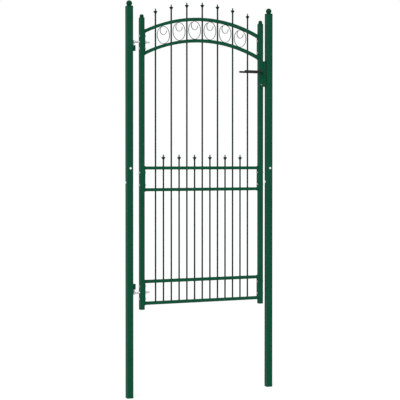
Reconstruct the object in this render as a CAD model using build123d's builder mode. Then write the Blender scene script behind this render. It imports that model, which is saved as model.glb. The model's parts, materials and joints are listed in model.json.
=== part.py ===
from build123d import *
import math
import os

os.makedirs("parts", exist_ok=True)

# General fits (all sizes in millimetres)
hole_clearance = 0.2
running_clearance = 0.1
seat_gap = 0.2

# Gate posts
post_spacing = 971.0
post_size = 40.0
post_wall = 2.0
post_corner = 3.2
lower_post_length = 1310.0
post_height = 2438.0
post_end_chamfer = 0.8
post_cap_base = 8.0
post_cap_chamfer = 3.0
post_ball_diameter = 37.0
post_ball_seat = 3.0

# Sleeves that join the two lengths of each post, and their bolts
sleeve_wall = 2.0
sleeve_corner = 2.0
sleeve_below_joint = 100.0
sleeve_above_joint = 160.0
front_bolt_above_joint = 125.0
side_bolt_above_joint = 36.0

# Leaf stiles
hinge_gap = 47.8
lock_gap = 26.2
stile_size = 30.0
stile_wall = 1.5
stile_corner = 2.7
stile_foot_drop = 39.3
stile_rise = 79.5
stile_plug = 4.0
stile_plug_chamfer = 1.5
stile_cap_base = 6.0
stile_cap_chamfer = 2.4
stile_ball_diameter = 26.5
stile_ball_seat = 5.5

# Rails and arches
rail_size = 20.0
rail_wall = 1.5
rail_corner = 1.5
rail_pair_spacing = 136.5
bottom_rail_z = 588.0
middle_rail_z = 1300.3
arch_radius = 885.0
arch_crown_z = 2384.3

# Vertical bars
bar_diameter = 10.0
bar_count = 13
end_bar_gap = 92.5

# Spear tips
finial_height = 33.0
finial_disc_diameter = 25.0
finial_disc_drop = 17.2
finial_disc_thickness = 3.4
finial_point_diameter = 8.0
finial_neck_diameter = 11.0
long_tip_rise = 109.7
long_tip_radius = 960.0
short_tip_rise = 85.7

# Scroll ornaments
scroll_thickness = 2.5
scroll_depth = 5.0
scroll_side_gap = 5.55
inner_loop_half_width = 21.9
inner_loop_foot = 1.8
scroll_start_angle = 117.0

# End plates and their bolts
plate_thickness = 4.0
plate_height = 162.0
plate_corner = 2.0
bolt_half_spacing = 38.7
bolt_diameter = 8.0
bolt_head_across = 13.0
bolt_head_height = 5.3
nut_height = 6.5
bolt_end = 3.0

# Hinges
hinge_pin_offset = 12.0
eye_diameter = 20.0
eye_height = 12.0
pin_diameter = 10.0
pin_chamfer = 1.5
eyebolt_diameter = 12.0
eyebolt_overhang = 33.6
eyebolt_end_chamfer = 1.0
eyebolt_nut_across = 19.0
eyebolt_nut_height = 10.0
pin_block_height = 34.0
pin_block_nose = 7.5
pin_block_depth = 20.0
pin_block_corner = 3.0
pin_collar = 16.5
pin_end_past_eye = 5.0

# Lock, levers and cylinder
lock_case_width = 19.2
lock_case_depth = 25.0
lock_case_height = 165.8
lock_case_above_lever = 70.0
lock_case_corner = 2.0
lever_axis_z = 2062.4
lever_reach = 132.5
lever_plane = 40.0
lever_height = 12.5
lever_thickness = 10.0
lever_bend_radius = 12.0
lever_tip_radius = 4.5
lever_edge_radius = 2.5
lever_neck_diameter = 14.0
lever_neck_past_rose = 6.0
rose_diameter = 24.0
rose_thickness = 4.0
rose_chamfer = 1.0
rose_gap = 0.5
spindle_size = 8.0
cylinder_drop = 83.8
cylinder_barrel = 17.0
cylinder_web = 10.0
cylinder_height = 33.0
cylinder_half_depth = 17.5

# Derived sizes of the tubes
post_bore = post_size - 2 * post_wall
post_bore_corner = max(post_corner - post_wall, seat_gap)
sleeve_size = post_bore - 2 * seat_gap
sleeve_bore = sleeve_size - 2 * sleeve_wall
stile_bore = stile_size - 2 * stile_wall
stile_bore_corner = max(stile_corner - stile_wall, seat_gap)
rail_bore = rail_size - 2 * rail_wall
post_face = post_size / 2
stile_face = stile_size / 2

# Derived positions of the leaf, from the hinge post towards the lock post
hinge_axis_x = post_face + hinge_pin_offset
hinge_stile_x = post_face + hinge_gap + stile_face
lock_stile_x = post_spacing - post_face - lock_gap - stile_face
leaf_middle_x = (hinge_stile_x + lock_stile_x) / 2
panel_left_x = hinge_stile_x + stile_face + plate_thickness
panel_right_x = lock_stile_x - stile_face - plate_thickness
panel_length = panel_right_x - panel_left_x
bar_pitch = (lock_stile_x - hinge_stile_x - 2 * end_bar_gap) / (bar_count - 1)
bar_xs = [hinge_stile_x + end_bar_gap + bar_pitch * i for i in range(bar_count)]
long_bar_xs = bar_xs[0::2]
short_bar_xs = bar_xs[1::2]

# Derived heights
arch_centre_z = arch_crown_z - arch_radius
arch_end_z = arch_centre_z + math.sqrt(arch_radius**2 - (panel_length / 2) ** 2)
bottom_rail_top_z = bottom_rail_z + rail_pair_spacing
middle_rail_top_z = middle_rail_z + rail_pair_spacing
bar_foot_z = bottom_rail_z - rail_size / 2 + rail_wall
long_tip_crown_z = arch_crown_z + long_tip_rise
short_tip_z = middle_rail_top_z + short_tip_rise
stile_foot_z = bottom_rail_z - stile_foot_drop
stile_top_z = arch_end_z + stile_rise
upper_plate_z = arch_end_z - rail_pair_spacing / 2
middle_plate_z = middle_rail_z + rail_pair_spacing / 2
lower_plate_z = bottom_rail_z + rail_pair_spacing / 2
plate_zs = [upper_plate_z, middle_plate_z, lower_plate_z]
eye_zs = [upper_plate_z, lower_plate_z]
bolt_zs = [z + side * bolt_half_spacing for z in plate_zs for side in (-1, 1)]
splice_front_z = lower_post_length + front_bolt_above_joint
splice_side_z = lower_post_length + side_bolt_above_joint
cylinder_z = lever_axis_z - cylinder_drop
cylinder_web_z = cylinder_z - cylinder_height / 2 + cylinder_barrel / 4
lock_case_foot_z = lever_axis_z + lock_case_above_lever - lock_case_height

# Derived holes and fits
bar_hole = bar_diameter + 2 * hole_clearance
bolt_hole = bolt_diameter + 2 * hole_clearance
eyebolt_hole = eyebolt_diameter + 2 * hole_clearance
pin_hole = pin_diameter + 2 * running_clearance
neck_hole = lever_neck_diameter + 2 * hole_clearance
rose_hole = lever_neck_diameter + 2 * running_clearance
socket_size = spindle_size + 2 * hole_clearance
web_length = cylinder_height - cylinder_barrel / 2
scroll_half_width = bar_pitch - bar_diameter / 2 - scroll_side_gap - scroll_thickness / 2
neck_end = stile_face + rose_thickness + lever_neck_past_rose
grip_start = stile_face + rose_thickness + rose_gap


def long_tip_z(x):
    return long_tip_crown_z - long_tip_radius + math.sqrt(long_tip_radius**2 - (x - leaf_middle_x) ** 2)


def arch_z(x):
    return arch_centre_z + math.sqrt(arch_radius**2 - (x - leaf_middle_x) ** 2)


def arch_slope(x):
    return (x - leaf_middle_x) / math.sqrt(arch_radius**2 - (x - leaf_middle_x) ** 2)


def square_tube(size, bore, corner, bore_corner):
    RectangleRounded(size, size, corner)
    RectangleRounded(bore, bore, bore_corner, mode=Mode.SUBTRACT)


def rail_section():
    RectangleRounded(rail_size, rail_size, rail_corner)
    Rectangle(rail_bore, rail_bore, mode=Mode.SUBTRACT)


def cylinder_section(clearance):
    with Locations((lock_stile_x, cylinder_z)):
        Circle(cylinder_barrel / 2 + clearance)
    with Locations((lock_stile_x, cylinder_web_z)):
        Rectangle(cylinder_web + 2 * clearance, web_length + 2 * clearance)


def spear_outline(x, tip_z):
    disc_radius = finial_disc_diameter / 2
    disc_top_z = tip_z - finial_disc_drop
    disc_foot_z = disc_top_z - finial_disc_thickness
    point_radius = finial_point_diameter / 2
    shoulder_z = tip_z - finial_point_diameter / 2
    with BuildLine() as outline:
        Polyline(
            (x, tip_z),
            (x + 0.65 * point_radius, shoulder_z + 0.6 * point_radius),
            (x + point_radius, disc_top_z + point_radius),
            (x + 1.5 * point_radius, disc_top_z + 0.15 * point_radius),
            (x + disc_radius, disc_top_z),
            (x + disc_radius, disc_foot_z),
            (x + finial_neck_diameter / 2, tip_z - finial_height),
            (x, tip_z - finial_height),
            close=True,
        )
    make_face(outline.edges())


def grip_outline(side):
    grip_y = side * lever_plane
    with BuildLine() as middle_line:
        FilletPolyline(
            (lock_stile_x, side * grip_start),
            (lock_stile_x, grip_y),
            (lock_stile_x - lever_reach, grip_y),
            radius=lever_bend_radius,
        )
    trace(middle_line.edges(), line_width=lever_thickness)


# Posts: a lower length with a square-cut foot and an upper length, butted at the joint
with BuildPart() as hinge_post_lower:
    with BuildSketch(Plane.XY):
        square_tube(post_size, post_bore, post_corner, post_bore_corner)
    extrude(amount=lower_post_length)
    chamfer(hinge_post_lower.faces().sort_by(Axis.Z)[-1].outer_wire().edges(), post_end_chamfer)
hinge_post_lower.part.label = "hinge_post_lower"
export_step(hinge_post_lower.part, "parts/hinge_post_lower.step")

with BuildPart() as hinge_post_upper:
    with BuildSketch(Plane.XY.offset(lower_post_length)):
        square_tube(post_size, post_bore, post_corner, post_bore_corner)
    extrude(amount=post_height - lower_post_length)
    chamfer(hinge_post_upper.faces().sort_by(Axis.Z)[0].outer_wire().edges(), post_end_chamfer)
    with BuildSketch(Plane.XZ.offset(post_face)):
        with Locations((0, splice_front_z)):
            Circle(bolt_hole / 2)
    extrude(amount=-post_wall, mode=Mode.SUBTRACT)
    with BuildSketch(Plane.YZ.offset(-post_face)):
        with Locations((0, splice_side_z)):
            Circle(bolt_hole / 2)
    extrude(amount=post_wall, mode=Mode.SUBTRACT)
hinge_post_upper.part.label = "hinge_post_upper"
export_step(hinge_post_upper.part, "parts/hinge_post_upper.step")

with BuildPart() as lock_post_lower:
    with BuildSketch(Plane.XY):
        with Locations((post_spacing, 0)):
            square_tube(post_size, post_bore, post_corner, post_bore_corner)
    extrude(amount=lower_post_length)
    chamfer(lock_post_lower.faces().sort_by(Axis.Z)[-1].outer_wire().edges(), post_end_chamfer)
lock_post_lower.part.label = "lock_post_lower"
export_step(lock_post_lower.part, "parts/lock_post_lower.step")

with BuildPart() as lock_post_upper:
    with BuildSketch(Plane.XY.offset(lower_post_length)):
        with Locations((post_spacing, 0)):
            square_tube(post_size, post_bore, post_corner, post_bore_corner)
    extrude(amount=post_height - lower_post_length)
    chamfer(lock_post_upper.faces().sort_by(Axis.Z)[0].outer_wire().edges(), post_end_chamfer)
    with BuildSketch(Plane.XZ.offset(post_face)):
        with Locations((post_spacing, splice_front_z)):
            Circle(bolt_hole / 2)
    extrude(amount=-post_wall, mode=Mode.SUBTRACT)
    with BuildSketch(Plane.YZ.offset(post_spacing - post_face)):
        with Locations((0, splice_side_z)):
            Circle(bolt_hole / 2)
    extrude(amount=post_wall, mode=Mode.SUBTRACT)
lock_post_upper.part.label = "lock_post_upper"
export_step(lock_post_upper.part, "parts/lock_post_upper.step")

# Sleeves inside the posts: welded in the lower length, bolted in the upper one
with BuildPart() as post_sleeves:
    with BuildSketch(Plane.XY.offset(lower_post_length - sleeve_below_joint)):
        with Locations((0, 0), (post_spacing, 0)):
            RectangleRounded(sleeve_size, sleeve_size, sleeve_corner)
            Rectangle(sleeve_bore, sleeve_bore, mode=Mode.SUBTRACT)
    extrude(amount=sleeve_below_joint + sleeve_above_joint)
    with BuildSketch(Plane.XZ.offset(sleeve_size / 2)):
        with Locations((0, splice_front_z), (post_spacing, splice_front_z)):
            Circle(bolt_hole / 2)
    extrude(amount=-sleeve_wall, mode=Mode.SUBTRACT)
    for sleeve_left_x in (-sleeve_size / 2, post_spacing - sleeve_size / 2):
        with BuildSketch(Plane.YZ.offset(sleeve_left_x)):
            with Locations((0, splice_side_z)):
                Circle(bolt_hole / 2)
        extrude(amount=sleeve_wall, mode=Mode.SUBTRACT)
post_sleeves.part.label = "post_sleeves"
export_step(post_sleeves.part, "parts/post_sleeves.step")

# Ball caps of the posts
with BuildPart() as hinge_post_cap:
    with BuildSketch(Plane.XY.offset(post_height)):
        RectangleRounded(post_size, post_size, post_corner)
    extrude(amount=post_cap_base)
    chamfer(hinge_post_cap.faces().sort_by(Axis.Z)[-1].edges(), post_cap_chamfer)
    with Locations((0, 0, post_height + post_cap_base - post_ball_seat + post_ball_diameter / 2)):
        Sphere(post_ball_diameter / 2)
hinge_post_cap.part.label = "hinge_post_cap"
export_step(hinge_post_cap.part, "parts/hinge_post_cap.step")

with BuildPart() as lock_post_cap:
    with BuildSketch(Plane.XY.offset(post_height)):
        with Locations((post_spacing, 0)):
            RectangleRounded(post_size, post_size, post_corner)
    extrude(amount=post_cap_base)
    chamfer(lock_post_cap.faces().sort_by(Axis.Z)[-1].edges(), post_cap_chamfer)
    with Locations((post_spacing, 0, post_height + post_cap_base - post_ball_seat + post_ball_diameter / 2)):
        Sphere(post_ball_diameter / 2)
lock_post_cap.part.label = "lock_post_cap"
export_step(lock_post_cap.part, "parts/lock_post_cap.step")

# Splice bolts of the hinge post: one in front, one on the outer side
with BuildPart() as hinge_post_bolts:
    with BuildSketch(Plane.XZ.offset(post_face)):
        with Locations((0, splice_front_z)):
            RegularPolygon(bolt_head_across / 2, 6, major_radius=False)
    extrude(amount=bolt_head_height)
    with BuildSketch(Plane.XZ.offset(post_face)):
        with Locations((0, splice_front_z)):
            Circle(bolt_diameter / 2)
    extrude(amount=-(post_wall + sleeve_wall + bolt_end))
    with BuildSketch(Plane.YZ.offset(-post_face)):
        with Locations((0, splice_side_z)):
            RegularPolygon(bolt_head_across / 2, 6, major_radius=False)
    extrude(amount=-bolt_head_height)
    with BuildSketch(Plane.YZ.offset(-post_face)):
        with Locations((0, splice_side_z)):
            Circle(bolt_diameter / 2)
    extrude(amount=post_wall + sleeve_wall + bolt_end)
hinge_post_bolts.part.label = "hinge_post_bolts"
export_step(hinge_post_bolts.part, "parts/hinge_post_bolts.step")

# Splice bolts of the lock post: one in front, one on the side towards the leaf
with BuildPart() as lock_post_bolts:
    with BuildSketch(Plane.XZ.offset(post_face)):
        with Locations((post_spacing, splice_front_z)):
            RegularPolygon(bolt_head_across / 2, 6, major_radius=False)
    extrude(amount=bolt_head_height)
    with BuildSketch(Plane.XZ.offset(post_face)):
        with Locations((post_spacing, splice_front_z)):
            Circle(bolt_diameter / 2)
    extrude(amount=-(post_wall + sleeve_wall + bolt_end))
    with BuildSketch(Plane.YZ.offset(post_spacing - post_face)):
        with Locations((0, splice_side_z)):
            RegularPolygon(bolt_head_across / 2, 6, major_radius=False)
    extrude(amount=-bolt_head_height)
    with BuildSketch(Plane.YZ.offset(post_spacing - post_face)):
        with Locations((0, splice_side_z)):
            Circle(bolt_diameter / 2)
    extrude(amount=post_wall + sleeve_wall + bolt_end)
lock_post_bolts.part.label = "lock_post_bolts"
export_step(lock_post_bolts.part, "parts/lock_post_bolts.step")

# Upper hinge pin: block on the post face, pin pointing up
block_reach = hinge_pin_offset + pin_block_nose
block_middle_x = post_face + block_reach / 2
upper_block_top_z = upper_plate_z - eye_height / 2 - pin_collar
with BuildPart() as upper_hinge_pin:
    with BuildSketch(Plane.XY.offset(upper_block_top_z - pin_block_height)):
        with Locations((block_middle_x, 0)):
            Rectangle(block_reach, pin_block_depth)
    extrude(amount=pin_block_height)
    fillet(upper_hinge_pin.edges().filter_by(Axis.Z).sort_by(Axis.X)[-2:], pin_block_corner)
    with BuildSketch(Plane.XY.offset(upper_block_top_z)):
        with Locations((hinge_axis_x, 0)):
            Circle(pin_diameter / 2)
    extrude(amount=pin_collar + eye_height + pin_end_past_eye)
    chamfer(upper_hinge_pin.faces().sort_by(Axis.Z)[-1].edges(), pin_chamfer)
upper_hinge_pin.part.label = "upper_hinge_pin"
export_step(upper_hinge_pin.part, "parts/upper_hinge_pin.step")

# Lower hinge pin: turned over, pin pointing down, so the leaf cannot be lifted off
lower_block_foot_z = lower_plate_z + eye_height / 2 + pin_collar
with BuildPart() as lower_hinge_pin:
    with BuildSketch(Plane.XY.offset(lower_block_foot_z)):
        with Locations((block_middle_x, 0)):
            Rectangle(block_reach, pin_block_depth)
    extrude(amount=pin_block_height)
    fillet(lower_hinge_pin.edges().filter_by(Axis.Z).sort_by(Axis.X)[-2:], pin_block_corner)
    with BuildSketch(Plane.XY.offset(lower_block_foot_z)):
        with Locations((hinge_axis_x, 0)):
            Circle(pin_diameter / 2)
    extrude(amount=-(pin_collar + eye_height + pin_end_past_eye))
    chamfer(lower_hinge_pin.faces().sort_by(Axis.Z)[0].edges(), pin_chamfer)
lower_hinge_pin.part.label = "lower_hinge_pin"
export_step(lower_hinge_pin.part, "parts/lower_hinge_pin.step")

# Hinge stile with bolt and eyebolt holes
with BuildPart() as hinge_stile:
    with BuildSketch(Plane.XY.offset(stile_foot_z + stile_plug)):
        with Locations((hinge_stile_x, 0)):
            square_tube(stile_size, stile_bore, stile_corner, stile_bore_corner)
    extrude(amount=stile_top_z - stile_foot_z - stile_plug)
    with BuildSketch(Plane.YZ.offset(hinge_stile_x)):
        with Locations(*[(0, z) for z in bolt_zs]):
            Circle(bolt_hole / 2)
        with Locations(*[(0, z) for z in eye_zs]):
            Circle(eyebolt_hole / 2)
    extrude(amount=stile_size, both=True, mode=Mode.SUBTRACT)
hinge_stile.part.label = "hinge_stile"
export_step(hinge_stile.part, "parts/hinge_stile.step")

# Lock stile with bolt, lever and cylinder holes
with BuildPart() as lock_stile:
    with BuildSketch(Plane.XY.offset(stile_foot_z + stile_plug)):
        with Locations((lock_stile_x, 0)):
            square_tube(stile_size, stile_bore, stile_corner, stile_bore_corner)
    extrude(amount=stile_top_z - stile_foot_z - stile_plug)
    with BuildSketch(Plane.YZ.offset(lock_stile_x)):
        with Locations(*[(0, z) for z in bolt_zs]):
            Circle(bolt_hole / 2)
    extrude(amount=stile_size, both=True, mode=Mode.SUBTRACT)
    with BuildSketch(Plane.XZ):
        with Locations((lock_stile_x, lever_axis_z)):
            Circle(neck_hole / 2)
        cylinder_section(hole_clearance)
    extrude(amount=stile_size, both=True, mode=Mode.SUBTRACT)
lock_stile.part.label = "lock_stile"
export_step(lock_stile.part, "parts/lock_stile.step")

# Ball caps of the stiles
stile_ball_z = stile_top_z + stile_cap_base - stile_ball_seat + stile_ball_diameter / 2
with BuildPart() as hinge_stile_cap:
    with BuildSketch(Plane.XY.offset(stile_top_z)):
        with Locations((hinge_stile_x, 0)):
            RectangleRounded(stile_size, stile_size, stile_corner)
    extrude(amount=stile_cap_base)
    chamfer(hinge_stile_cap.faces().sort_by(Axis.Z)[-1].edges(), stile_cap_chamfer)
    with Locations((hinge_stile_x, 0, stile_ball_z)):
        Sphere(stile_ball_diameter / 2)
hinge_stile_cap.part.label = "hinge_stile_cap"
export_step(hinge_stile_cap.part, "parts/hinge_stile_cap.step")

with BuildPart() as lock_stile_cap:
    with BuildSketch(Plane.XY.offset(stile_top_z)):
        with Locations((lock_stile_x, 0)):
            RectangleRounded(stile_size, stile_size, stile_corner)
    extrude(amount=stile_cap_base)
    chamfer(lock_stile_cap.faces().sort_by(Axis.Z)[-1].edges(), stile_cap_chamfer)
    with Locations((lock_stile_x, 0, stile_ball_z)):
        Sphere(stile_ball_diameter / 2)
lock_stile_cap.part.label = "lock_stile_cap"
export_step(lock_stile_cap.part, "parts/lock_stile_cap.step")

# Plugs that close the feet of both stiles
with BuildPart() as stile_plugs:
    with BuildSketch(Plane.XY.offset(stile_foot_z)):
        with Locations((hinge_stile_x, 0), (lock_stile_x, 0)):
            RectangleRounded(stile_size, stile_size, stile_corner)
    extrude(amount=stile_plug)
    chamfer(stile_plugs.faces().group_by(Axis.Z)[0].edges(), stile_plug_chamfer)
stile_plugs.part.label = "stile_plugs"
export_step(stile_plugs.part, "parts/stile_plugs.step")

# Upper arch: a square tube bent to a circular arc, drilled for the long bars
with BuildPart() as upper_arch:
    with BuildSketch(Plane.XZ):
        with Locations((leaf_middle_x, arch_centre_z)):
            Circle(arch_radius + rail_size / 2)
            Circle(arch_radius - rail_size / 2, mode=Mode.SUBTRACT)
        with Locations((leaf_middle_x, arch_crown_z)):
            Rectangle(panel_length, arch_radius, mode=Mode.INTERSECT)
    extrude(amount=rail_size / 2, both=True)
    with BuildSketch(Plane.XZ):
        with Locations((leaf_middle_x, arch_centre_z)):
            Circle(arch_radius + rail_bore / 2)
            Circle(arch_radius - rail_bore / 2, mode=Mode.SUBTRACT)
        with Locations((leaf_middle_x, arch_crown_z)):
            Rectangle(panel_length, arch_radius, mode=Mode.INTERSECT)
    extrude(amount=rail_bore / 2, both=True, mode=Mode.SUBTRACT)
    with BuildSketch(Plane.XY.offset(arch_end_z - rail_size)):
        with Locations(*[(x, 0) for x in long_bar_xs]):
            Circle(bar_hole / 2)
    extrude(amount=arch_crown_z - arch_end_z + 2 * rail_size, mode=Mode.SUBTRACT)
upper_arch.part.label = "upper_arch"
export_step(upper_arch.part, "parts/upper_arch.step")

# Lower arch: the same bend one rail spacing lower
lower_arch_centre_z = arch_centre_z - rail_pair_spacing
lower_arch_crown_z = arch_crown_z - rail_pair_spacing
with BuildPart() as lower_arch:
    with BuildSketch(Plane.XZ):
        with Locations((leaf_middle_x, lower_arch_centre_z)):
            Circle(arch_radius + rail_size / 2)
            Circle(arch_radius - rail_size / 2, mode=Mode.SUBTRACT)
        with Locations((leaf_middle_x, lower_arch_crown_z)):
            Rectangle(panel_length, arch_radius, mode=Mode.INTERSECT)
    extrude(amount=rail_size / 2, both=True)
    with BuildSketch(Plane.XZ):
        with Locations((leaf_middle_x, lower_arch_centre_z)):
            Circle(arch_radius + rail_bore / 2)
            Circle(arch_radius - rail_bore / 2, mode=Mode.SUBTRACT)
        with Locations((leaf_middle_x, lower_arch_crown_z)):
            Rectangle(panel_length, arch_radius, mode=Mode.INTERSECT)
    extrude(amount=rail_bore / 2, both=True, mode=Mode.SUBTRACT)
    with BuildSketch(Plane.XY.offset(arch_end_z - rail_pair_spacing - rail_size)):
        with Locations(*[(x, 0) for x in long_bar_xs]):
            Circle(bar_hole / 2)
    extrude(amount=arch_crown_z - arch_end_z + 2 * rail_size, mode=Mode.SUBTRACT)
lower_arch.part.label = "lower_arch"
export_step(lower_arch.part, "parts/lower_arch.step")

# Middle rails, drilled for every bar
with BuildPart() as middle_rail_upper:
    with BuildSketch(Plane.YZ.offset(panel_left_x)):
        with Locations((0, middle_rail_top_z)):
            rail_section()
    extrude(amount=panel_length)
    with BuildSketch(Plane.XY.offset(middle_rail_top_z)):
        with Locations(*[(x, 0) for x in bar_xs]):
            Circle(bar_hole / 2)
    extrude(amount=rail_size, both=True, mode=Mode.SUBTRACT)
middle_rail_upper.part.label = "middle_rail_upper"
export_step(middle_rail_upper.part, "parts/middle_rail_upper.step")

with BuildPart() as middle_rail_lower:
    with BuildSketch(Plane.YZ.offset(panel_left_x)):
        with Locations((0, middle_rail_z)):
            rail_section()
    extrude(amount=panel_length)
    with BuildSketch(Plane.XY.offset(middle_rail_z)):
        with Locations(*[(x, 0) for x in bar_xs]):
            Circle(bar_hole / 2)
    extrude(amount=rail_size, both=True, mode=Mode.SUBTRACT)
middle_rail_lower.part.label = "middle_rail_lower"
export_step(middle_rail_lower.part, "parts/middle_rail_lower.step")

# Bottom rails: the upper one is drilled through, the lower one only in its top wall
with BuildPart() as bottom_rail_upper:
    with BuildSketch(Plane.YZ.offset(panel_left_x)):
        with Locations((0, bottom_rail_top_z)):
            rail_section()
    extrude(amount=panel_length)
    with BuildSketch(Plane.XY.offset(bottom_rail_top_z)):
        with Locations(*[(x, 0) for x in bar_xs]):
            Circle(bar_hole / 2)
    extrude(amount=rail_size, both=True, mode=Mode.SUBTRACT)
bottom_rail_upper.part.label = "bottom_rail_upper"
export_step(bottom_rail_upper.part, "parts/bottom_rail_upper.step")

with BuildPart() as bottom_rail_lower:
    with BuildSketch(Plane.YZ.offset(panel_left_x)):
        with Locations((0, bottom_rail_z)):
            rail_section()
    extrude(amount=panel_length)
    with BuildSketch(Plane.XY.offset(bottom_rail_z)):
        with Locations(*[(x, 0) for x in bar_xs]):
            Circle(bar_hole / 2)
    extrude(amount=rail_size, mode=Mode.SUBTRACT)
bottom_rail_lower.part.label = "bottom_rail_lower"
export_step(bottom_rail_lower.part, "parts/bottom_rail_lower.step")

# Long bars: from the foot of the bottom rail up through both arches
with BuildPart() as long_bars:
    for bar_x in long_bar_xs:
        with BuildSketch(Plane.XY.offset(bar_foot_z)):
            with Locations((bar_x, 0)):
                Circle(bar_diameter / 2)
        extrude(amount=long_tip_z(bar_x) - finial_height - bar_foot_z)
long_bars.part.label = "long_bars"
export_step(long_bars.part, "parts/long_bars.step")

# Short bars: from the bottom rail to just above the middle rails
with BuildPart() as short_bars:
    with BuildSketch(Plane.XY.offset(bar_foot_z)):
        with Locations(*[(x, 0) for x in short_bar_xs]):
            Circle(bar_diameter / 2)
    extrude(amount=short_tip_z - finial_height - bar_foot_z)
short_bars.part.label = "short_bars"
export_step(short_bars.part, "parts/short_bars.step")

# Spear tips: a thin point on a sharp disc and a cone back to the bar, turned about the bar axis
with BuildPart() as long_bar_tips:
    for bar_x in long_bar_xs:
        with BuildSketch(Plane.XZ):
            spear_outline(bar_x, long_tip_z(bar_x))
        revolve(axis=Axis((bar_x, 0, 0), (0, 0, 1)))
long_bar_tips.part.label = "long_bar_tips"
export_step(long_bar_tips.part, "parts/long_bar_tips.step")

with BuildPart() as short_bar_tips:
    for bar_x in short_bar_xs:
        with BuildSketch(Plane.XZ):
            spear_outline(bar_x, short_tip_z)
        revolve(axis=Axis((bar_x, 0, 0), (0, 0, 1)))
short_bar_tips.part.label = "short_bar_tips"
export_step(short_bar_tips.part, "parts/short_bar_tips.step")

# Scroll ornaments: one flat strip each, a full oval that curls in to a smaller oval
# The oval is as tall as the sloping space between the arches allows
with BuildPart() as scrolls:
    for left_x, right_x in zip(long_bar_xs[:-1], long_bar_xs[1:]):
        scroll_x = (left_x + right_x) / 2
        slope = arch_slope(scroll_x)
        scroll_z = arch_z(scroll_x) - rail_pair_spacing / 2
        half_thickness = (rail_size + scroll_thickness) / 2 * math.sqrt(1 + slope**2)
        free_half_height = rail_pair_spacing / 2 - half_thickness - seat_gap
        scroll_half_height = math.sqrt(free_half_height**2 - (scroll_half_width * slope) ** 2)
        inner_loop_half_height = (scroll_half_height - inner_loop_foot) / 2
        with BuildLine(Plane.XZ) as scroll_path:
            EllipticalCenterArc(
                (scroll_x, scroll_z),
                scroll_half_width,
                scroll_half_height,
                start_angle=scroll_start_angle,
                arc_size=450.0 - scroll_start_angle,
            )
            EllipticalCenterArc(
                (scroll_x, scroll_z + inner_loop_foot + inner_loop_half_height),
                inner_loop_half_width,
                inner_loop_half_height,
                start_angle=90.0,
                arc_size=270.0,
            )
        strip_start = Plane(origin=scroll_path.line @ 0, x_dir=(0, 1, 0), z_dir=scroll_path.line % 0)
        with BuildSketch(strip_start):
            Rectangle(scroll_depth, scroll_thickness)
        sweep(path=scroll_path.line)
scrolls.part.label = "scrolls"
export_step(scrolls.part, "parts/scrolls.step")

# End plates on the hinge side: they join each pair of rails to the stile
with BuildPart() as hinge_side_plates:
    with BuildSketch(Plane.YZ.offset(panel_left_x - plate_thickness)):
        with Locations(*[(0, z) for z in plate_zs]):
            RectangleRounded(stile_size, plate_height, plate_corner)
        with Locations(*[(0, z) for z in bolt_zs]):
            Circle(bolt_hole / 2, mode=Mode.SUBTRACT)
        with Locations(*[(0, z) for z in eye_zs]):
            Circle(eyebolt_hole / 2, mode=Mode.SUBTRACT)
    extrude(amount=plate_thickness)
hinge_side_plates.part.label = "hinge_side_plates"
export_step(hinge_side_plates.part, "parts/hinge_side_plates.step")

# End plates on the lock side
with BuildPart() as lock_side_plates:
    with BuildSketch(Plane.YZ.offset(panel_right_x)):
        with Locations(*[(0, z) for z in plate_zs]):
            RectangleRounded(stile_size, plate_height, plate_corner)
        with Locations(*[(0, z) for z in bolt_zs]):
            Circle(bolt_hole / 2, mode=Mode.SUBTRACT)
    extrude(amount=plate_thickness)
lock_side_plates.part.label = "lock_side_plates"
export_step(lock_side_plates.part, "parts/lock_side_plates.step")

# Through bolts of the hinge side: head on the outer face, nut against the plate
with BuildPart() as hinge_side_bolts:
    with BuildSketch(Plane.YZ.offset(hinge_stile_x - stile_face - bolt_head_height)):
        with Locations(*[(0, z) for z in bolt_zs]):
            RegularPolygon(bolt_head_across / 2, 6, major_radius=False)
    extrude(amount=bolt_head_height)
    with BuildSketch(Plane.YZ.offset(hinge_stile_x - stile_face)):
        with Locations(*[(0, z) for z in bolt_zs]):
            Circle(bolt_diameter / 2)
    extrude(amount=stile_size + plate_thickness + nut_height + bolt_end)
    with BuildSketch(Plane.YZ.offset(panel_left_x)):
        with Locations(*[(0, z) for z in bolt_zs]):
            RegularPolygon(bolt_head_across / 2, 6, major_radius=False)
    extrude(amount=nut_height)
hinge_side_bolts.part.label = "hinge_side_bolts"
export_step(hinge_side_bolts.part, "parts/hinge_side_bolts.step")

# Through bolts of the lock side, turned the other way
with BuildPart() as lock_side_bolts:
    with BuildSketch(Plane.YZ.offset(lock_stile_x + stile_face)):
        with Locations(*[(0, z) for z in bolt_zs]):
            RegularPolygon(bolt_head_across / 2, 6, major_radius=False)
    extrude(amount=bolt_head_height)
    with BuildSketch(Plane.YZ.offset(lock_stile_x + stile_face)):
        with Locations(*[(0, z) for z in bolt_zs]):
            Circle(bolt_diameter / 2)
    extrude(amount=-(stile_size + plate_thickness + nut_height + bolt_end))
    with BuildSketch(Plane.YZ.offset(panel_right_x)):
        with Locations(*[(0, z) for z in bolt_zs]):
            RegularPolygon(bolt_head_across / 2, 6, major_radius=False)
    extrude(amount=-nut_height)
lock_side_bolts.part.label = "lock_side_bolts"
export_step(lock_side_bolts.part, "parts/lock_side_bolts.step")

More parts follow.
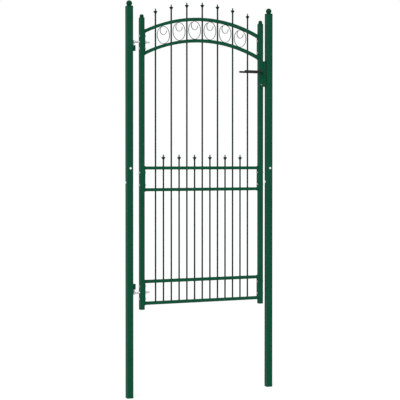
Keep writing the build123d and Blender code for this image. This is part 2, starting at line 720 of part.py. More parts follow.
# Eyebolts: a flat eye round the pin and a long adjusting rod through the stile
rod_length = panel_left_x + eyebolt_overhang - hinge_axis_x
with BuildPart() as upper_eyebolt:
    with BuildSketch(Plane.XY.offset(upper_plate_z)):
        with Locations((hinge_axis_x, 0)):
            Circle(eye_diameter / 2)
    extrude(amount=eye_height / 2, both=True)
    with BuildSketch(Plane.YZ.offset(hinge_axis_x)):
        with Locations((0, upper_plate_z)):
            Circle(eyebolt_diameter / 2)
    extrude(amount=rod_length)
    chamfer(upper_eyebolt.faces().sort_by(Axis.X)[-1].edges(), eyebolt_end_chamfer)
    with BuildSketch(Plane.XY.offset(upper_plate_z)):
        with Locations((hinge_axis_x, 0)):
            Circle(pin_hole / 2)
    extrude(amount=eye_height, both=True, mode=Mode.SUBTRACT)
upper_eyebolt.part.label = "upper_eyebolt"
export_step(upper_eyebolt.part, "parts/upper_eyebolt.step")

with BuildPart() as lower_eyebolt:
    with BuildSketch(Plane.XY.offset(lower_plate_z)):
        with Locations((hinge_axis_x, 0)):
            Circle(eye_diameter / 2)
    extrude(amount=eye_height / 2, both=True)
    with BuildSketch(Plane.YZ.offset(hinge_axis_x)):
        with Locations((0, lower_plate_z)):
            Circle(eyebolt_diameter / 2)
    extrude(amount=rod_length)
    chamfer(lower_eyebolt.faces().sort_by(Axis.X)[-1].edges(), eyebolt_end_chamfer)
    with BuildSketch(Plane.XY.offset(lower_plate_z)):
        with Locations((hinge_axis_x, 0)):
            Circle(pin_hole / 2)
    extrude(amount=eye_height, both=True, mode=Mode.SUBTRACT)
lower_eyebolt.part.label = "lower_eyebolt"
export_step(lower_eyebolt.part, "parts/lower_eyebolt.step")

# Nuts that hold the eyebolts against the end plates
with BuildPart() as eyebolt_nuts:
    with BuildSketch(Plane.YZ.offset(panel_left_x)):
        with Locations(*[(0, z) for z in eye_zs]):
            RegularPolygon(eyebolt_nut_across / 2, 6, major_radius=False)
            Circle(eyebolt_hole / 2, mode=Mode.SUBTRACT)
    extrude(amount=eyebolt_nut_height)
eyebolt_nuts.part.label = "eyebolt_nuts"
export_step(eyebolt_nuts.part, "parts/eyebolt_nuts.step")

# Lock case on the outer face of the lock stile
with BuildPart() as lock_case:
    with BuildSketch(Plane.XY.offset(lock_case_foot_z)):
        with Locations((lock_stile_x + stile_face + lock_case_width / 2, 0)):
            Rectangle(lock_case_width, lock_case_depth)
    extrude(amount=lock_case_height)
    fillet(lock_case.edges().filter_by(Axis.Z).sort_by(Axis.X)[-2:], lock_case_corner)
lock_case.part.label = "lock_case"
export_step(lock_case.part, "parts/lock_case.step")

# Lever roses, one on each face of the stile
with BuildPart() as lever_roses:
    for face_side in (-1, 1):
        with BuildSketch(Plane.XZ.offset(-face_side * stile_face)):
            with Locations((lock_stile_x, lever_axis_z)):
                Circle(rose_diameter / 2)
                Circle(rose_hole / 2, mode=Mode.SUBTRACT)
        extrude(amount=-face_side * rose_thickness)
    chamfer(lever_roses.faces().sort_by(Axis.Y)[0].outer_wire().edges(), rose_chamfer)
    chamfer(lever_roses.faces().sort_by(Axis.Y)[-1].outer_wire().edges(), rose_chamfer)
lever_roses.part.label = "lever_roses"
export_step(lever_roses.part, "parts/lever_roses.step")

# Profile cylinder through the stile
with BuildPart() as lock_cylinder:
    with BuildSketch(Plane.XZ):
        cylinder_section(0)
    extrude(amount=cylinder_half_depth, both=True)
lock_cylinder.part.label = "lock_cylinder"
export_step(lock_cylinder.part, "parts/lock_cylinder.step")

# Front lever: a bent grip on a round neck, with the square spindle that runs through the stile
with BuildPart() as front_lever:
    with BuildSketch(Plane.XY.offset(lever_axis_z - lever_height / 2)):
        grip_outline(-1)
    extrude(amount=lever_height)
    fillet(front_lever.edges().filter_by(Axis.Z).sort_by(Axis.X)[:2], lever_tip_radius)
    fillet(front_lever.faces().sort_by(Axis.Z)[0].edges(), lever_edge_radius)
    fillet(front_lever.faces().sort_by(Axis.Z)[-1].edges(), lever_edge_radius)
    with BuildSketch(Plane.XZ.offset(neck_end)):
        with Locations((lock_stile_x, lever_axis_z)):
            Circle(lever_neck_diameter / 2)
    extrude(amount=-(neck_end - stile_face + stile_wall))
    with BuildSketch(Plane.XZ):
        with Locations((lock_stile_x, lever_axis_z)):
            Rectangle(spindle_size, spindle_size)
    extrude(amount=neck_end - 2 * hole_clearance, both=True)
front_lever.part.label = "front_lever"
export_step(front_lever.part, "parts/front_lever.step")

# Back lever with a square socket for the spindle
with BuildPart() as back_lever:
    with BuildSketch(Plane.XY.offset(lever_axis_z - lever_height / 2)):
        grip_outline(1)
    extrude(amount=lever_height)
    fillet(back_lever.edges().filter_by(Axis.Z).sort_by(Axis.X)[:2], lever_tip_radius)
    fillet(back_lever.faces().sort_by(Axis.Z)[0].edges(), lever_edge_radius)
    fillet(back_lever.faces().sort_by(Axis.Z)[-1].edges(), lever_edge_radius)
    with BuildSketch(Plane.XZ.offset(-neck_end)):
        with Locations((lock_stile_x, lever_axis_z)):
            Circle(lever_neck_diameter / 2)
    extrude(amount=neck_end - stile_face + stile_wall)
    with BuildSketch(Plane.XZ):
        with Locations((lock_stile_x, lever_axis_z)):
            Rectangle(socket_size, socket_size)
    extrude(amount=-neck_end, mode=Mode.SUBTRACT)
back_lever.part.label = "back_lever"
export_step(back_lever.part, "parts/back_lever.step")
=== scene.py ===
# %% [markdown]
# A garden gate in Blender
# The construction of this gate is finished before Blender starts: two square posts, a leaf with
# an arched top, and a pair of levers. Here it gets its finish, its threads, its welds and its
# light. Every length is in metres, because that is Blender's own unit.

# %% Load the gate and keep its box
import bpy
import bmesh
import json
import math
import random
from collections import namedtuple
from mathutils import Matrix, Vector


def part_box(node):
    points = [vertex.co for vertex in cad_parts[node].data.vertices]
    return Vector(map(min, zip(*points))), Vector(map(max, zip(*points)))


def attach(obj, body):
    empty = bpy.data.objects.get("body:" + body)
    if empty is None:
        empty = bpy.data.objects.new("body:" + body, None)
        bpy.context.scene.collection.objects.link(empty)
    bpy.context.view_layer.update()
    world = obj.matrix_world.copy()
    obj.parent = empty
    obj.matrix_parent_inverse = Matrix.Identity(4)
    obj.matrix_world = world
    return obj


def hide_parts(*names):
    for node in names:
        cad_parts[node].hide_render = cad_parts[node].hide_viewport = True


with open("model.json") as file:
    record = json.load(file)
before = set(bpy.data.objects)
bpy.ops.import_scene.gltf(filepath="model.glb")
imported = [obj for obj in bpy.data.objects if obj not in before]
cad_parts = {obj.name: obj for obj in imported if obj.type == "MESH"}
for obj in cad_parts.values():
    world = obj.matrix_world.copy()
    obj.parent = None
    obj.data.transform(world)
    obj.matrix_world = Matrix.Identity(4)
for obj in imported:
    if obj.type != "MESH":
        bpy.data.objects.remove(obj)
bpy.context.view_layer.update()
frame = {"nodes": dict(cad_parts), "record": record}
nodes = frame["nodes"]

# %% [markdown]
# Where things are
# Bolts, tips and bars each share a node with their like, so one box is not enough to place a
# piece on each of them. The helper below joins the corners that lie on one another, walks from
# corner to corner, and gives a box for every loose solid in a node. All the pieces further down
# are placed from these boxes, so they follow the gate if a size of it changes.

# %% Boxes of the loose solids in a node
SAME_PLACE = 1e-6


def node_box(node_name):
    low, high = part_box(node_name)
    return Vector(low), Vector(high)


def solid_boxes(node_name):
    mesh = bmesh.new()
    mesh.from_mesh(nodes[node_name].data)
    bmesh.ops.remove_doubles(mesh, verts=mesh.verts, dist=SAME_PLACE)
    unseen = set(mesh.verts)
    boxes = []
    while unseen:
        solid = [unseen.pop()]
        for corner in solid:
            for edge in corner.link_edges:
                other = edge.other_vert(corner)
                if other in unseen:
                    unseen.remove(other)
                    solid.append(other)
        low = Vector([min(corner.co[axis] for corner in solid) for axis in range(3)])
        high = Vector([max(corner.co[axis] for corner in solid) for axis in range(3)])
        boxes.append((low, high))
    mesh.free()
    return sorted(boxes, key=lambda box: tuple(round(value, 4) for value in box[0]))


long_bar_boxes = solid_boxes("long_bars")
short_bar_boxes = solid_boxes("short_bars")
print("long bars", len(long_bar_boxes), "short bars", len(short_bar_boxes))

# %% [markdown]
# From points to pieces
# Every piece is a row of rings with a skin from each ring to the next. A real lathe makes nuts,
# caps and spear tips by turning a profile about an axis, and the helper called turned does the
# same. It could also be done with a screw modifier on a drawn line, but with points the sizes
# can be worked out from the boxes.

# %% Rings, skins and turned profiles
def full_turn(steps):
    return [2 * math.pi * i / steps for i in range(steps)]


def round_points(radius, steps):
    return [(radius * math.cos(angle), radius * math.sin(angle)) for angle in full_turn(steps)]


def ring(mesh, points):
    return [mesh.verts.new(point) for point in points]


def circle(mesh, place, radius, level, steps):
    return ring(mesh, [place @ Vector((x, y, level)) for x, y in round_points(radius, steps)])


def bridge(mesh, first, second):
    for i in range(len(first)):
        j = (i + 1) % len(first)
        mesh.faces.new((first[i], first[j], second[j], second[i]))


def skin(mesh, rings, closed=False, capped=False):
    following = rings[1:] + rings[:1] if closed else rings[1:]
    for first, second in zip(rings, following):
        bridge(mesh, first, second)
    if capped:
        mesh.faces.new(rings[0])
        mesh.faces.new(rings[-1])


def fan(mesh, tip, rim):
    for i in range(len(rim)):
        mesh.faces.new((tip, rim[i], rim[(i + 1) % len(rim)]))


def turned(mesh, profile, place, steps):
    rings = []
    for radius, height in profile:
        if radius == 0:
            rings.append(ring(mesh, [place @ Vector((0, 0, height))]))
        else:
            rings.append(circle(mesh, place, radius, height, steps))
    for first, second in zip(rings, rings[1:]):
        if len(first) == 1:
            fan(mesh, first[0], second)
        elif len(second) == 1:
            fan(mesh, second[0], first)
        else:
            bridge(mesh, first, second)


def along(axis, origin):
    turn = Vector((0, 0, 1)).rotation_difference(Vector(axis)).to_matrix().to_4x4()
    return Matrix.Translation(origin) @ turn


flat = 4 * (1 - math.cos(math.pi / 24))
print("a ring of 24 points cuts", round(flat, 3), "mm off a round bar of 8 mm")

# %% [markdown]
# Dressing a piece
# One helper writes the faces to an object. It shades them smooth, but keeps each edge sharper
# than a given angle crisp, as a machined edge is. The other gives the piece its finish and the
# body that carries it when the gate moves.

# %% Helpers that finish and dress a piece
JOIN_DISTANCE = 2e-6


def finish_mesh(mesh, name, sharp_degrees=35):
    bmesh.ops.remove_doubles(mesh, verts=mesh.verts, dist=JOIN_DISTANCE)
    bmesh.ops.dissolve_degenerate(mesh, edges=mesh.edges, dist=SAME_PLACE)
    bmesh.ops.recalc_face_normals(mesh, faces=mesh.faces)
    for face in mesh.faces:
        face.smooth = True
    sharp_angle = math.radians(sharp_degrees)
    for edge in mesh.edges:
        if len(edge.link_faces) == 2 and edge.calc_face_angle(0) > sharp_angle:
            edge.smooth = False
    data = bpy.data.meshes.new(name)
    mesh.to_mesh(data)
    mesh.free()
    piece = bpy.data.objects.new(name, data)
    bpy.context.scene.collection.objects.link(piece)
    return piece


def triangles(piece):
    return sum(len(face.vertices) - 2 for face in piece.data.polygons)


def dress(piece, material, body):
    piece.data.materials.append(material)
    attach(piece, body)
    print(piece.name, "rides on", body, "with", triangles(piece), "triangles")

# %% [markdown]
# The camera
# The picture was taken from just above the middle rails, with the gate turned about 23.5
# degrees. The lens is long, so the posts stay nearly parallel. A small downward shift of the
# frame and less than one degree of tilt put the feet and the tips where the picture has them.

# %% Camera
CAMERA_PLACE = (-2.5136, -6.8725, 1.4606)
CAMERA_LENS = 105.51
CAMERA_SENSOR = 36.0
CAMERA_SHIFT = -0.05
CAMERA_TURN = 23.541
CAMERA_TILT = 0.773

camera_data = bpy.data.cameras.new("gate_camera")
camera_data.sensor_width = CAMERA_SENSOR
camera_data.lens = CAMERA_LENS
camera_data.shift_y = CAMERA_SHIFT
camera = bpy.data.objects.new("gate_camera", camera_data)
camera.location = CAMERA_PLACE
camera.rotation_euler = (math.radians(90 - CAMERA_TILT), 0, math.radians(-CAMERA_TURN))
bpy.context.scene.collection.objects.link(camera)
bpy.context.scene.camera = camera
bpy.context.scene.view_settings.view_transform = "Standard"
print("camera", tuple(camera.location), "lens", camera_data.lens)

# %% [markdown]
# Light and floor
# A product picture of a gate is lit by one large soft lamp. In this picture the left faces are
# nearly as bright as the front and the right-hand corners go dark, so the lamp stands well to
# the left, almost on the diagonal. A sun lamp with a wide angle does that: it is even from foot
# to tip, and its shadow melts away within a hand's width. The sky and the floor look white to
# the camera and in reflections, but they light the gate only softly, which keeps the faces
# turned away from the lamp at about half the brightness of the front. Both are built from
# shader nodes, so a few helpers for nodes come before them.

# %% Lamp
KEY_AZIMUTH = math.radians(42)
KEY_HEIGHT = math.radians(34)
KEY_SPREAD = math.radians(50)
KEY_STRENGTH = 2.78

key_data = bpy.data.lights.new("key_light", "SUN")
key_data.energy = KEY_STRENGTH
key_data.angle = KEY_SPREAD
key = bpy.data.objects.new("key_light", key_data)
toward_key = Vector((
    -math.sin(KEY_AZIMUTH) * math.cos(KEY_HEIGHT),
    -math.cos(KEY_AZIMUTH) * math.cos(KEY_HEIGHT),
    math.sin(KEY_HEIGHT),
))
key.rotation_euler = toward_key.to_track_quat("Z", "Y").to_euler()
bpy.context.scene.collection.objects.link(key)
print("the lamp stands towards", [round(value, 2) for value in toward_key])

# %% Nodes and plugs
WHITE = (1.0, 1.0, 1.0)


def node(tree, kind, **settings):
    new = tree.nodes.new(kind)
    for setting, value in settings.items():
        setattr(new, setting, value)
    return new


def plug(tree, value, socket):
    if isinstance(value, bpy.types.NodeSocket):
        tree.links.new(value, socket)
    elif isinstance(value, tuple):
        socket.default_value = (*value, 1)
    else:
        socket.default_value = value


def math_node(tree, operation, first, second, clamp=False):
    new = node(tree, "ShaderNodeMath", operation=operation, use_clamp=clamp)
    plug(tree, first, new.inputs[0])
    plug(tree, second, new.inputs[1])
    return new.outputs[0]


def plain_shader(tree, kind, **values):
    new = node(tree, kind)
    for name, value in values.items():
        plug(tree, value, new.inputs[name])
    return new.outputs[0]


def show_when_seen(tree, lighting, seen, output):
    rays = node(tree, "ShaderNodeLightPath").outputs
    direct = math_node(tree, "MAXIMUM", rays["Is Camera Ray"], rays["Is Glossy Ray"])
    direct = math_node(tree, "MAXIMUM", direct, rays["Is Transmission Ray"])
    mix = node(tree, "ShaderNodeMixShader")
    for socket, value in zip(mix.inputs, (direct, lighting, seen)):
        plug(tree, value, socket)
    plug(tree, mix.outputs[0], output.inputs["Surface"])


helpers = (node, plug, math_node, plain_shader, show_when_seen)
print("helpers for nodes:", ", ".join(helper.__name__ for helper in helpers))

# %% Sky that looks white and lights little
FILL_STRENGTH = 0.30

world = bpy.data.worlds.new("studio")
bpy.context.scene.world = world
world.use_nodes = True
sky = world.node_tree
sky.nodes.clear()
sky_fill = plain_shader(sky, "ShaderNodeBackground", Color=WHITE, Strength=FILL_STRENGTH)
sky_white = plain_shader(sky, "ShaderNodeBackground", Color=WHITE, Strength=1.0)
show_when_seen(sky, sky_fill, sky_white, node(sky, "ShaderNodeOutputWorld"))
print("the sky lights with", FILL_STRENGTH, "and shows as 1")

# %% Pale floor that keeps a faint shadow
FLOOR_HALF = 900.0
FLOOR_GLOW = 0.84
FLOOR_SEEN_COLOUR = (0.25, 0.25, 0.25)
FLOOR_COLOUR = (0.9, 0.9, 0.9)

floor_mesh = bmesh.new()
corners = [(-1, -1), (1, -1), (1, 1), (-1, 1)]
floor_mesh.faces.new(ring(floor_mesh, [(x * FLOOR_HALF, y * FLOOR_HALF, 0) for x, y in corners]))
floor = finish_mesh(floor_mesh, "floor")
floor_material = bpy.data.materials.new("floor_paint")
floor_material.use_nodes = True
paint = floor_material.node_tree
paint.nodes.clear()
floor_sum = node(paint, "ShaderNodeAddShader")
floor_glow = plain_shader(paint, "ShaderNodeEmission", Color=WHITE, Strength=FLOOR_GLOW)
floor_seen = plain_shader(paint, "ShaderNodeBsdfDiffuse", Color=FLOOR_SEEN_COLOUR)
floor_lit = plain_shader(paint, "ShaderNodeBsdfDiffuse", Color=FLOOR_COLOUR)
plug(paint, floor_seen, floor_sum.inputs[0])
plug(paint, floor_glow, floor_sum.inputs[1])
floor_output = node(paint, "ShaderNodeOutputMaterial")
show_when_seen(paint, floor_lit, floor_sum.outputs[0], floor_output)
floor.data.materials.append(floor_material)
print("the floor glows", FLOOR_GLOW, "and adds its shadow to that")

# %% [markdown]
# A shared surface group
# Coated steel, zinc and plastic all vary a little from place to place, carry some dust where
# rain leaves it, and lose their finish first along the edges. One node group works these out
# from the object's own coordinates, which are metres here, and every material below places it
# with its own values. It puts out masks, a height and a normal softened at the edges, and each
# material decides what to do with them.

# %% Ramps and noise
def ramp(tree, value, low, high):
    new = node(tree, "ShaderNodeMapRange", clamp=True)
    for name, item in (("Value", value), ("From Min", low), ("From Max", high)):
        plug(tree, item, new.inputs[name])
    return new.outputs["Result"]


def noise(tree, place, scale, detail, roughness):
    new = node(tree, "ShaderNodeTexNoise")
    values = (("Vector", place), ("Scale", scale), ("Detail", detail), ("Roughness", roughness))
    for name, item in values:
        plug(tree, item, new.inputs[name])
    return new.outputs["Fac"]


print("a ramp cuts noise to a mask:", ramp.__name__, noise.__name__)

# %% Node group: patches, grain, dust and edges
SURFACE_INPUTS = (
    ("Grain Scale", 900.0), ("Patch Scale", 6.0), ("Edge Width", 0.0012), ("Dust", 0.3),
)

surface = bpy.data.node_groups.new("worn_surface", "ShaderNodeTree")
for name, value in SURFACE_INPUTS:
    socket = surface.interface.new_socket(name, in_out="INPUT", socket_type="NodeSocketFloat")
    socket.default_value = value
for name in ("Patches", "Grain", "Dust Mask", "Edge Mask"):
    surface.interface.new_socket(name, in_out="OUTPUT", socket_type="NodeSocketFloat")
surface.interface.new_socket("Soft Normal", in_out="OUTPUT", socket_type="NodeSocketVector")
group_in = node(surface, "NodeGroupInput").outputs
group_out = node(surface, "NodeGroupOutput").inputs
place = node(surface, "ShaderNodeTexCoord").outputs["Object"]
true_normal = node(surface, "ShaderNodeNewGeometry").outputs["Normal"]

patches = noise(surface, place, group_in["Patch Scale"], detail=4.0, roughness=0.55)
grain = noise(surface, place, group_in["Grain Scale"], detail=2.0, roughness=0.6)

bevel = node(surface, "ShaderNodeBevel", samples=4)
plug(surface, group_in["Edge Width"], bevel.inputs["Radius"])
facing = node(surface, "ShaderNodeVectorMath", operation="DOT_PRODUCT")
plug(surface, bevel.outputs["Normal"], facing.inputs[0])
plug(surface, true_normal, facing.inputs[1])
turned_away = math_node(surface, "SUBTRACT", 1.0, facing.outputs["Value"], clamp=True)
edges = ramp(surface, turned_away, low=0.02, high=0.16)
chips = noise(surface, place, scale=260.0, detail=3.0, roughness=0.65)
edge_mask = math_node(surface, "MULTIPLY", edges, ramp(surface, chips, low=0.35, high=0.75))

up = node(surface, "ShaderNodeSeparateXYZ")
plug(surface, true_normal, up.inputs[0])
settled = ramp(surface, up.outputs["Z"], low=0.35, high=0.95)
speckle = noise(surface, place, scale=70.0, detail=5.0, roughness=0.7)
dust = math_node(surface, "MULTIPLY", settled, ramp(surface, speckle, low=0.42, high=0.72))
dust_mask = math_node(surface, "MULTIPLY", dust, group_in["Dust"])

plug(surface, patches, group_out["Patches"])
plug(surface, grain, group_out["Grain"])
plug(surface, dust_mask, group_out["Dust Mask"])
plug(surface, edge_mask, group_out["Edge Mask"])
plug(surface, bevel.outputs["Normal"], group_out["Soft Normal"])
print("group worn_surface", len(surface.nodes), "nodes")

# %% [markdown]
# The finishes
# Powder coat is a thick, slightly rippled skin: its colour hardly changes, its ripple is about a
# millimetre wide, and it shines softly. Round bars, scrolls and balls get darker copies of it than
# the flat tubes: painted shade for the darker look of round pieces. Zinc plate is bright metal
# with a faint spangle. The levers are black, the lock cylinder is a dark casting with nickel
# plugs, and the plugs in the feet of the stiles are moulded plastic. They are all the same small
# recipe with other values, so one function builds them.

# %% A function for every finish
GRAIN_IN_ROUGHNESS = 0.10
DUST_IN_ROUGHNESS = 0.3
PATCH_RANGE = (0.3, 0.7)


def mix_colour(tree, factor, first, second):
    new = node(tree, "ShaderNodeMix", data_type="RGBA")
    for socket, value in ((0, factor), (6, first), (7, second)):
        plug(tree, value, new.inputs[socket])
    return new.outputs[2]


def make_finish(name, dark, light, worn, dust, roughness, metallic=0.0, specular=0.5,
                grain_scale=900.0, patch_scale=6.0, edge_width=0.0012, dust_amount=0.3,
                bump=0.00012, edge_share=0.5):
    material = bpy.data.materials.new(name)
    material.use_nodes = True
    tree = material.node_tree
    shader = tree.nodes["Principled BSDF"].inputs
    shader["Metallic"].default_value = metallic
    shader["Specular IOR Level"].default_value = specular
    group = node(tree, "ShaderNodeGroup", node_tree=surface)
    group.inputs["Grain Scale"].default_value = grain_scale
    group.inputs["Patch Scale"].default_value = patch_scale
    group.inputs["Edge Width"].default_value = edge_width
    group.inputs["Dust"].default_value = dust_amount
    masks = group.outputs
    coat = mix_colour(tree, ramp(tree, masks["Patches"], *PATCH_RANGE), dark, light)
    wear = math_node(tree, "MULTIPLY", masks["Edge Mask"], edge_share)
    coat = mix_colour(tree, wear, coat, worn)
    coat = mix_colour(tree, masks["Dust Mask"], coat, dust)
    plug(tree, coat, shader["Base Color"])
    rough = math_node(tree, "MULTIPLY", masks["Grain"], GRAIN_IN_ROUGHNESS)
    rough = math_node(tree, "ADD", rough, roughness - GRAIN_IN_ROUGHNESS / 2)
    dull = math_node(tree, "MULTIPLY", masks["Dust Mask"], DUST_IN_ROUGHNESS)
    plug(tree, math_node(tree, "ADD", rough, dull, clamp=True), shader["Roughness"])
    relief = node(tree, "ShaderNodeBump")
    relief.inputs["Distance"].default_value = bump
    relief.inputs["Strength"].default_value = 1.0
    plug(tree, masks["Grain"], relief.inputs["Height"])
    plug(tree, masks["Soft Normal"], relief.inputs["Normal"])
    plug(tree, relief.outputs["Normal"], shader["Normal"])
    return material


print("each finish places the group worn_surface with its own values")

# %% Green coats: flat tubes, and darker copies with painted shade for round pieces and balls
green_coat = make_finish(
    "green_coat", dark=(0.0047, 0.0640, 0.0318), light=(0.0057, 0.0740, 0.0372),
    worn=(0.020, 0.110, 0.068), dust=(0.09, 0.12, 0.10), roughness=0.46, specular=0.035,
    grain_scale=700.0, bump=0.00010, dust_amount=0.18)
# darker copy of the same coat for round bars, scrolls, tips and scroll welds: painted shade
green_coat_painted_shade_round = make_finish(
    "green_coat_painted_shade_round", dark=(0.0028, 0.0230, 0.0120), light=(0.0036, 0.0280, 0.0148),
    worn=(0.012, 0.050, 0.032), dust=(0.05, 0.07, 0.06), roughness=0.52, specular=0.02,
    grain_scale=700.0, bump=0.00006, dust_amount=0.12, edge_width=0.0003, edge_share=0.0)
# darker copy of the same coat for the balls of the caps: painted shade
green_coat_painted_shade_cap = make_finish(
    "green_coat_painted_shade_cap", dark=(0.0033, 0.0448, 0.0223), light=(0.0040, 0.0518, 0.0260),
    worn=(0.014, 0.080, 0.050), dust=(0.07, 0.10, 0.08), roughness=0.50, specular=0.03,
    grain_scale=700.0, bump=0.00008, dust_amount=0.15)
print("green coats", green_coat.name, green_coat_painted_shade_round.name, green_coat_painted_shade_cap.name)

# %% Metals, the black coat and the plastic
zinc_plate = make_finish(
    "zinc_plate", dark=(0.46, 0.48, 0.49), light=(0.64, 0.65, 0.66),
    worn=(0.74, 0.74, 0.74), dust=(0.40, 0.39, 0.37), roughness=0.36, metallic=1.0,
    grain_scale=400.0, patch_scale=90.0, bump=0.00003)
zinc_bright = make_finish(
    "zinc_bright", dark=(0.84, 0.85, 0.86), light=(0.93, 0.94, 0.94),
    worn=(0.96, 0.96, 0.96), dust=(0.60, 0.60, 0.58), roughness=0.30, metallic=1.0,
    grain_scale=500.0, patch_scale=90.0, bump=0.00002, dust_amount=0.1)
black_coat = make_finish(
    "black_coat", dark=(0.0140, 0.0140, 0.0145), light=(0.0200, 0.0200, 0.0205),
    worn=(0.045, 0.046, 0.047), dust=(0.07, 0.07, 0.07), roughness=0.48, specular=0.15,
    grain_scale=1400.0, bump=0.00004, dust_amount=0.1)
nickel_plate = make_finish(
    "nickel_plate", dark=(0.22, 0.25, 0.23), light=(0.31, 0.34, 0.31),
    worn=(0.50, 0.52, 0.48), dust=(0.25, 0.26, 0.24), roughness=0.34, metallic=1.0,
    grain_scale=1200.0, patch_scale=120.0, bump=0.00002)
dark_cast = make_finish(
    "dark_cast", dark=(0.0065, 0.0400, 0.0235), light=(0.0085, 0.0480, 0.0285),
    worn=(0.030, 0.070, 0.052), dust=(0.06, 0.08, 0.07), roughness=0.50, specular=0.05,
    grain_scale=1200.0, bump=0.00004, dust_amount=0.1)
plug_plastic = make_finish(
    "plug_plastic", dark=(0.0080, 0.0400, 0.0240), light=(0.0110, 0.0500, 0.0310),
    worn=(0.020, 0.070, 0.050), dust=(0.10, 0.11, 0.10), roughness=0.55, specular=0.2,
    grain_scale=1600.0, bump=0.00005)
print("zinc in two shades, nickel, black coat, dark casting and plastic")

# %% Every node gets its own finish
ROUND_NODES = ("long_bars", "short_bars", "scrolls")
POST_CAPS = ("hinge_post_cap", "lock_post_cap")
STILE_CAPS = ("hinge_stile_cap", "lock_stile_cap")

finishes = {
    "green_coat": green_coat,
    "zinc_plate": zinc_plate,
    "black_coat": black_coat,
    "nickel_plate": nickel_plate,
    "plug_plastic": plug_plastic,
}
# round pieces and ball caps take the darker copies of the coat, which are painted shade
shades = {node_name: green_coat_painted_shade_round for node_name in ROUND_NODES}
shades.update({node_name: green_coat_painted_shade_cap for node_name in POST_CAPS + STILE_CAPS})
for part in frame["record"]["subparts"]:
    mesh_data = nodes[part["node"]].data
    mesh_data.materials.clear()
    mesh_data.materials.append(shades.get(part["node"], finishes[part["material_slot"]]))

# %% [markdown]
# Hexagon heads and nuts
# A real bolt head is a hexagonal bar cut by a cone, so its corners are rounded off by a chamfer
# that shows as a bright curved line. A six-sided cylinder misses that line. Here the outline is
# walked in small steps, and each step is lowered by how far it reaches past the chamfer circle,
# which gives exactly the curve that the cone cuts.

# %% Hexagon with chamfered corners
HEX_STEPS = 72
CHAMFER_SLOPE = math.tan(math.radians(30))
CHAMFER_SHARE = 0.96
BORE_LEAD = 0.06
DISH = ((0.62, 0.0), (0.55, 0.0002))


def hexagon(mesh, across, height, place, bore=0.0, both_ends=False):
    apothem = across / 2
    chamfer_circle = apothem * CHAMFER_SHARE

    def outline(level, fall):
        points = []
        for angle in full_turn(HEX_STEPS):
            sector = (angle % (math.pi / 3)) - math.pi / 6
            radius = apothem / math.cos(sector)
            lowered = level - (radius - chamfer_circle) * CHAMFER_SLOPE * fall
            points.append((radius * math.cos(angle), radius * math.sin(angle), lowered))
        return ring(mesh, [place @ Vector(point) for point in points])

    def round_ring(radius, level):
        return circle(mesh, place, radius, level, HEX_STEPS)

    rings = [round_ring(chamfer_circle, 0.0)] if both_ends else []
    rings += [outline(0.0, -1.0 if both_ends else 0.0), outline(height, 1.0)]
    rings.append(round_ring(chamfer_circle, height))
    if bore:
        lead = BORE_LEAD * across
        rings += [round_ring(bore + lead, height), round_ring(bore, height - lead)]
        rings.append(round_ring(bore, 0.0))
        skin(mesh, rings, closed=True)
    else:
        rings += [round_ring(chamfer_circle * share, height - sink) for share, sink in DISH]
        skin(mesh, rings, capped=True)


print("a hexagon is walked in", HEX_STEPS, "steps")

# %% [markdown]
# Screw threads
# A thread can be faked with a bump, but the eyebolts stick out on their own and their outline
# shows the teeth. So the thread is real geometry: a stack of closed rings, ten to each turn.
# Each point of a ring is pushed out to the crest or left at the root by its place along the
# helix, and the teeth run out flat at both ends, so the rod is one closed skin.

# %% Threaded rod along an axis
ROWS_PER_TURN = 10
THREAD_STEPS = 36
TOOTH_DEPTH = 0.54
FLANK_SLOPE = 2.5
END_TOOTH = 0.15


def thread(mesh, radius, pitch, start, end, place):
    depth = TOOTH_DEPTH * pitch
    rows = round((end - start) / pitch * ROWS_PER_TURN)
    rings = []
    for row in range(rows + 1):
        level = start + (end - start) * row / rows
        runout = min(1.0, (level - start) / pitch, (end - level) / pitch + END_TOOTH)
        points = []
        for i, angle in enumerate(full_turn(THREAD_STEPS)):
            phase = ((level - start) / pitch - i / THREAD_STEPS) % 1.0
            crest = FLANK_SLOPE / 2 - FLANK_SLOPE * abs(phase - 0.5)
            reach = radius - depth * (1.0 - min(1.0, max(0.0, crest)) * runout)
            points.append((reach * math.cos(angle), reach * math.sin(angle), level))
        rings.append(ring(mesh, [place @ Vector(point) for point in points]))
    skin(mesh, rings, capped=True)


print("a thread has", ROWS_PER_TURN * THREAD_STEPS, "points to a turn")

# %% [markdown]
# Adjustable hinges
# Each hinge is an eyebolt that turns on a pin and is screwed through the stile, so the leaf can
# be set closer to or further from the post. The eye is forged: its faces are flat where it was
# struck and its rim is round, and a short neck blends it into the rod. The rod is threaded over
# nearly all its length, and one big nut holds it against the end plate.

# %% Forged eyes on threaded rods
EYE_HEIGHT = 0.012
EYE_BEVEL = 0.0022
EYE_BEVEL_STEPS = 5
EYE_STEPS = 56
EYE_LEAD = 0.0006
EYE_PIN_CLEARANCE = 0.0001
PIN_RADIUS = 0.005
ROD_PITCH = 0.00175
ROD_IN_EYE = 0.003


def eye_profile(eye_radius, bore):
    eye_half = EYE_HEIGHT / 2
    upper = []
    for i in range(EYE_BEVEL_STEPS + 1):
        angle = math.pi / 2 * i / EYE_BEVEL_STEPS
        radius = eye_radius - EYE_BEVEL * (1 - math.sin(angle))
        upper.append((radius, eye_half - EYE_BEVEL * (1 - math.cos(angle))))
    lower = [(radius, -level) for radius, level in reversed(upper)]
    inside = [(bore, -eye_half + EYE_LEAD), (bore, eye_half - EYE_LEAD)]
    top, foot = (bore + EYE_LEAD, eye_half), (bore + EYE_LEAD, -eye_half)
    return [top] + upper + lower + [foot] + inside + [top]


def neck(mesh, eye_radius, bore, place):
    rings = []
    for distance, half_wide, half_tall in (
        (bore + 0.0015, 0.0046, 0.0050),
        (eye_radius - 0.0012, 0.0056, 0.0058),
        (eye_radius + 0.0040, 0.0052, 0.0052),
    ):
        oval = [(half_tall * x, half_wide * y, distance) for x, y in round_points(1, THREAD_STEPS)]
        rings.append(ring(mesh, [place @ Vector(point) for point in oval]))
    skin(mesh, rings, capped=True)


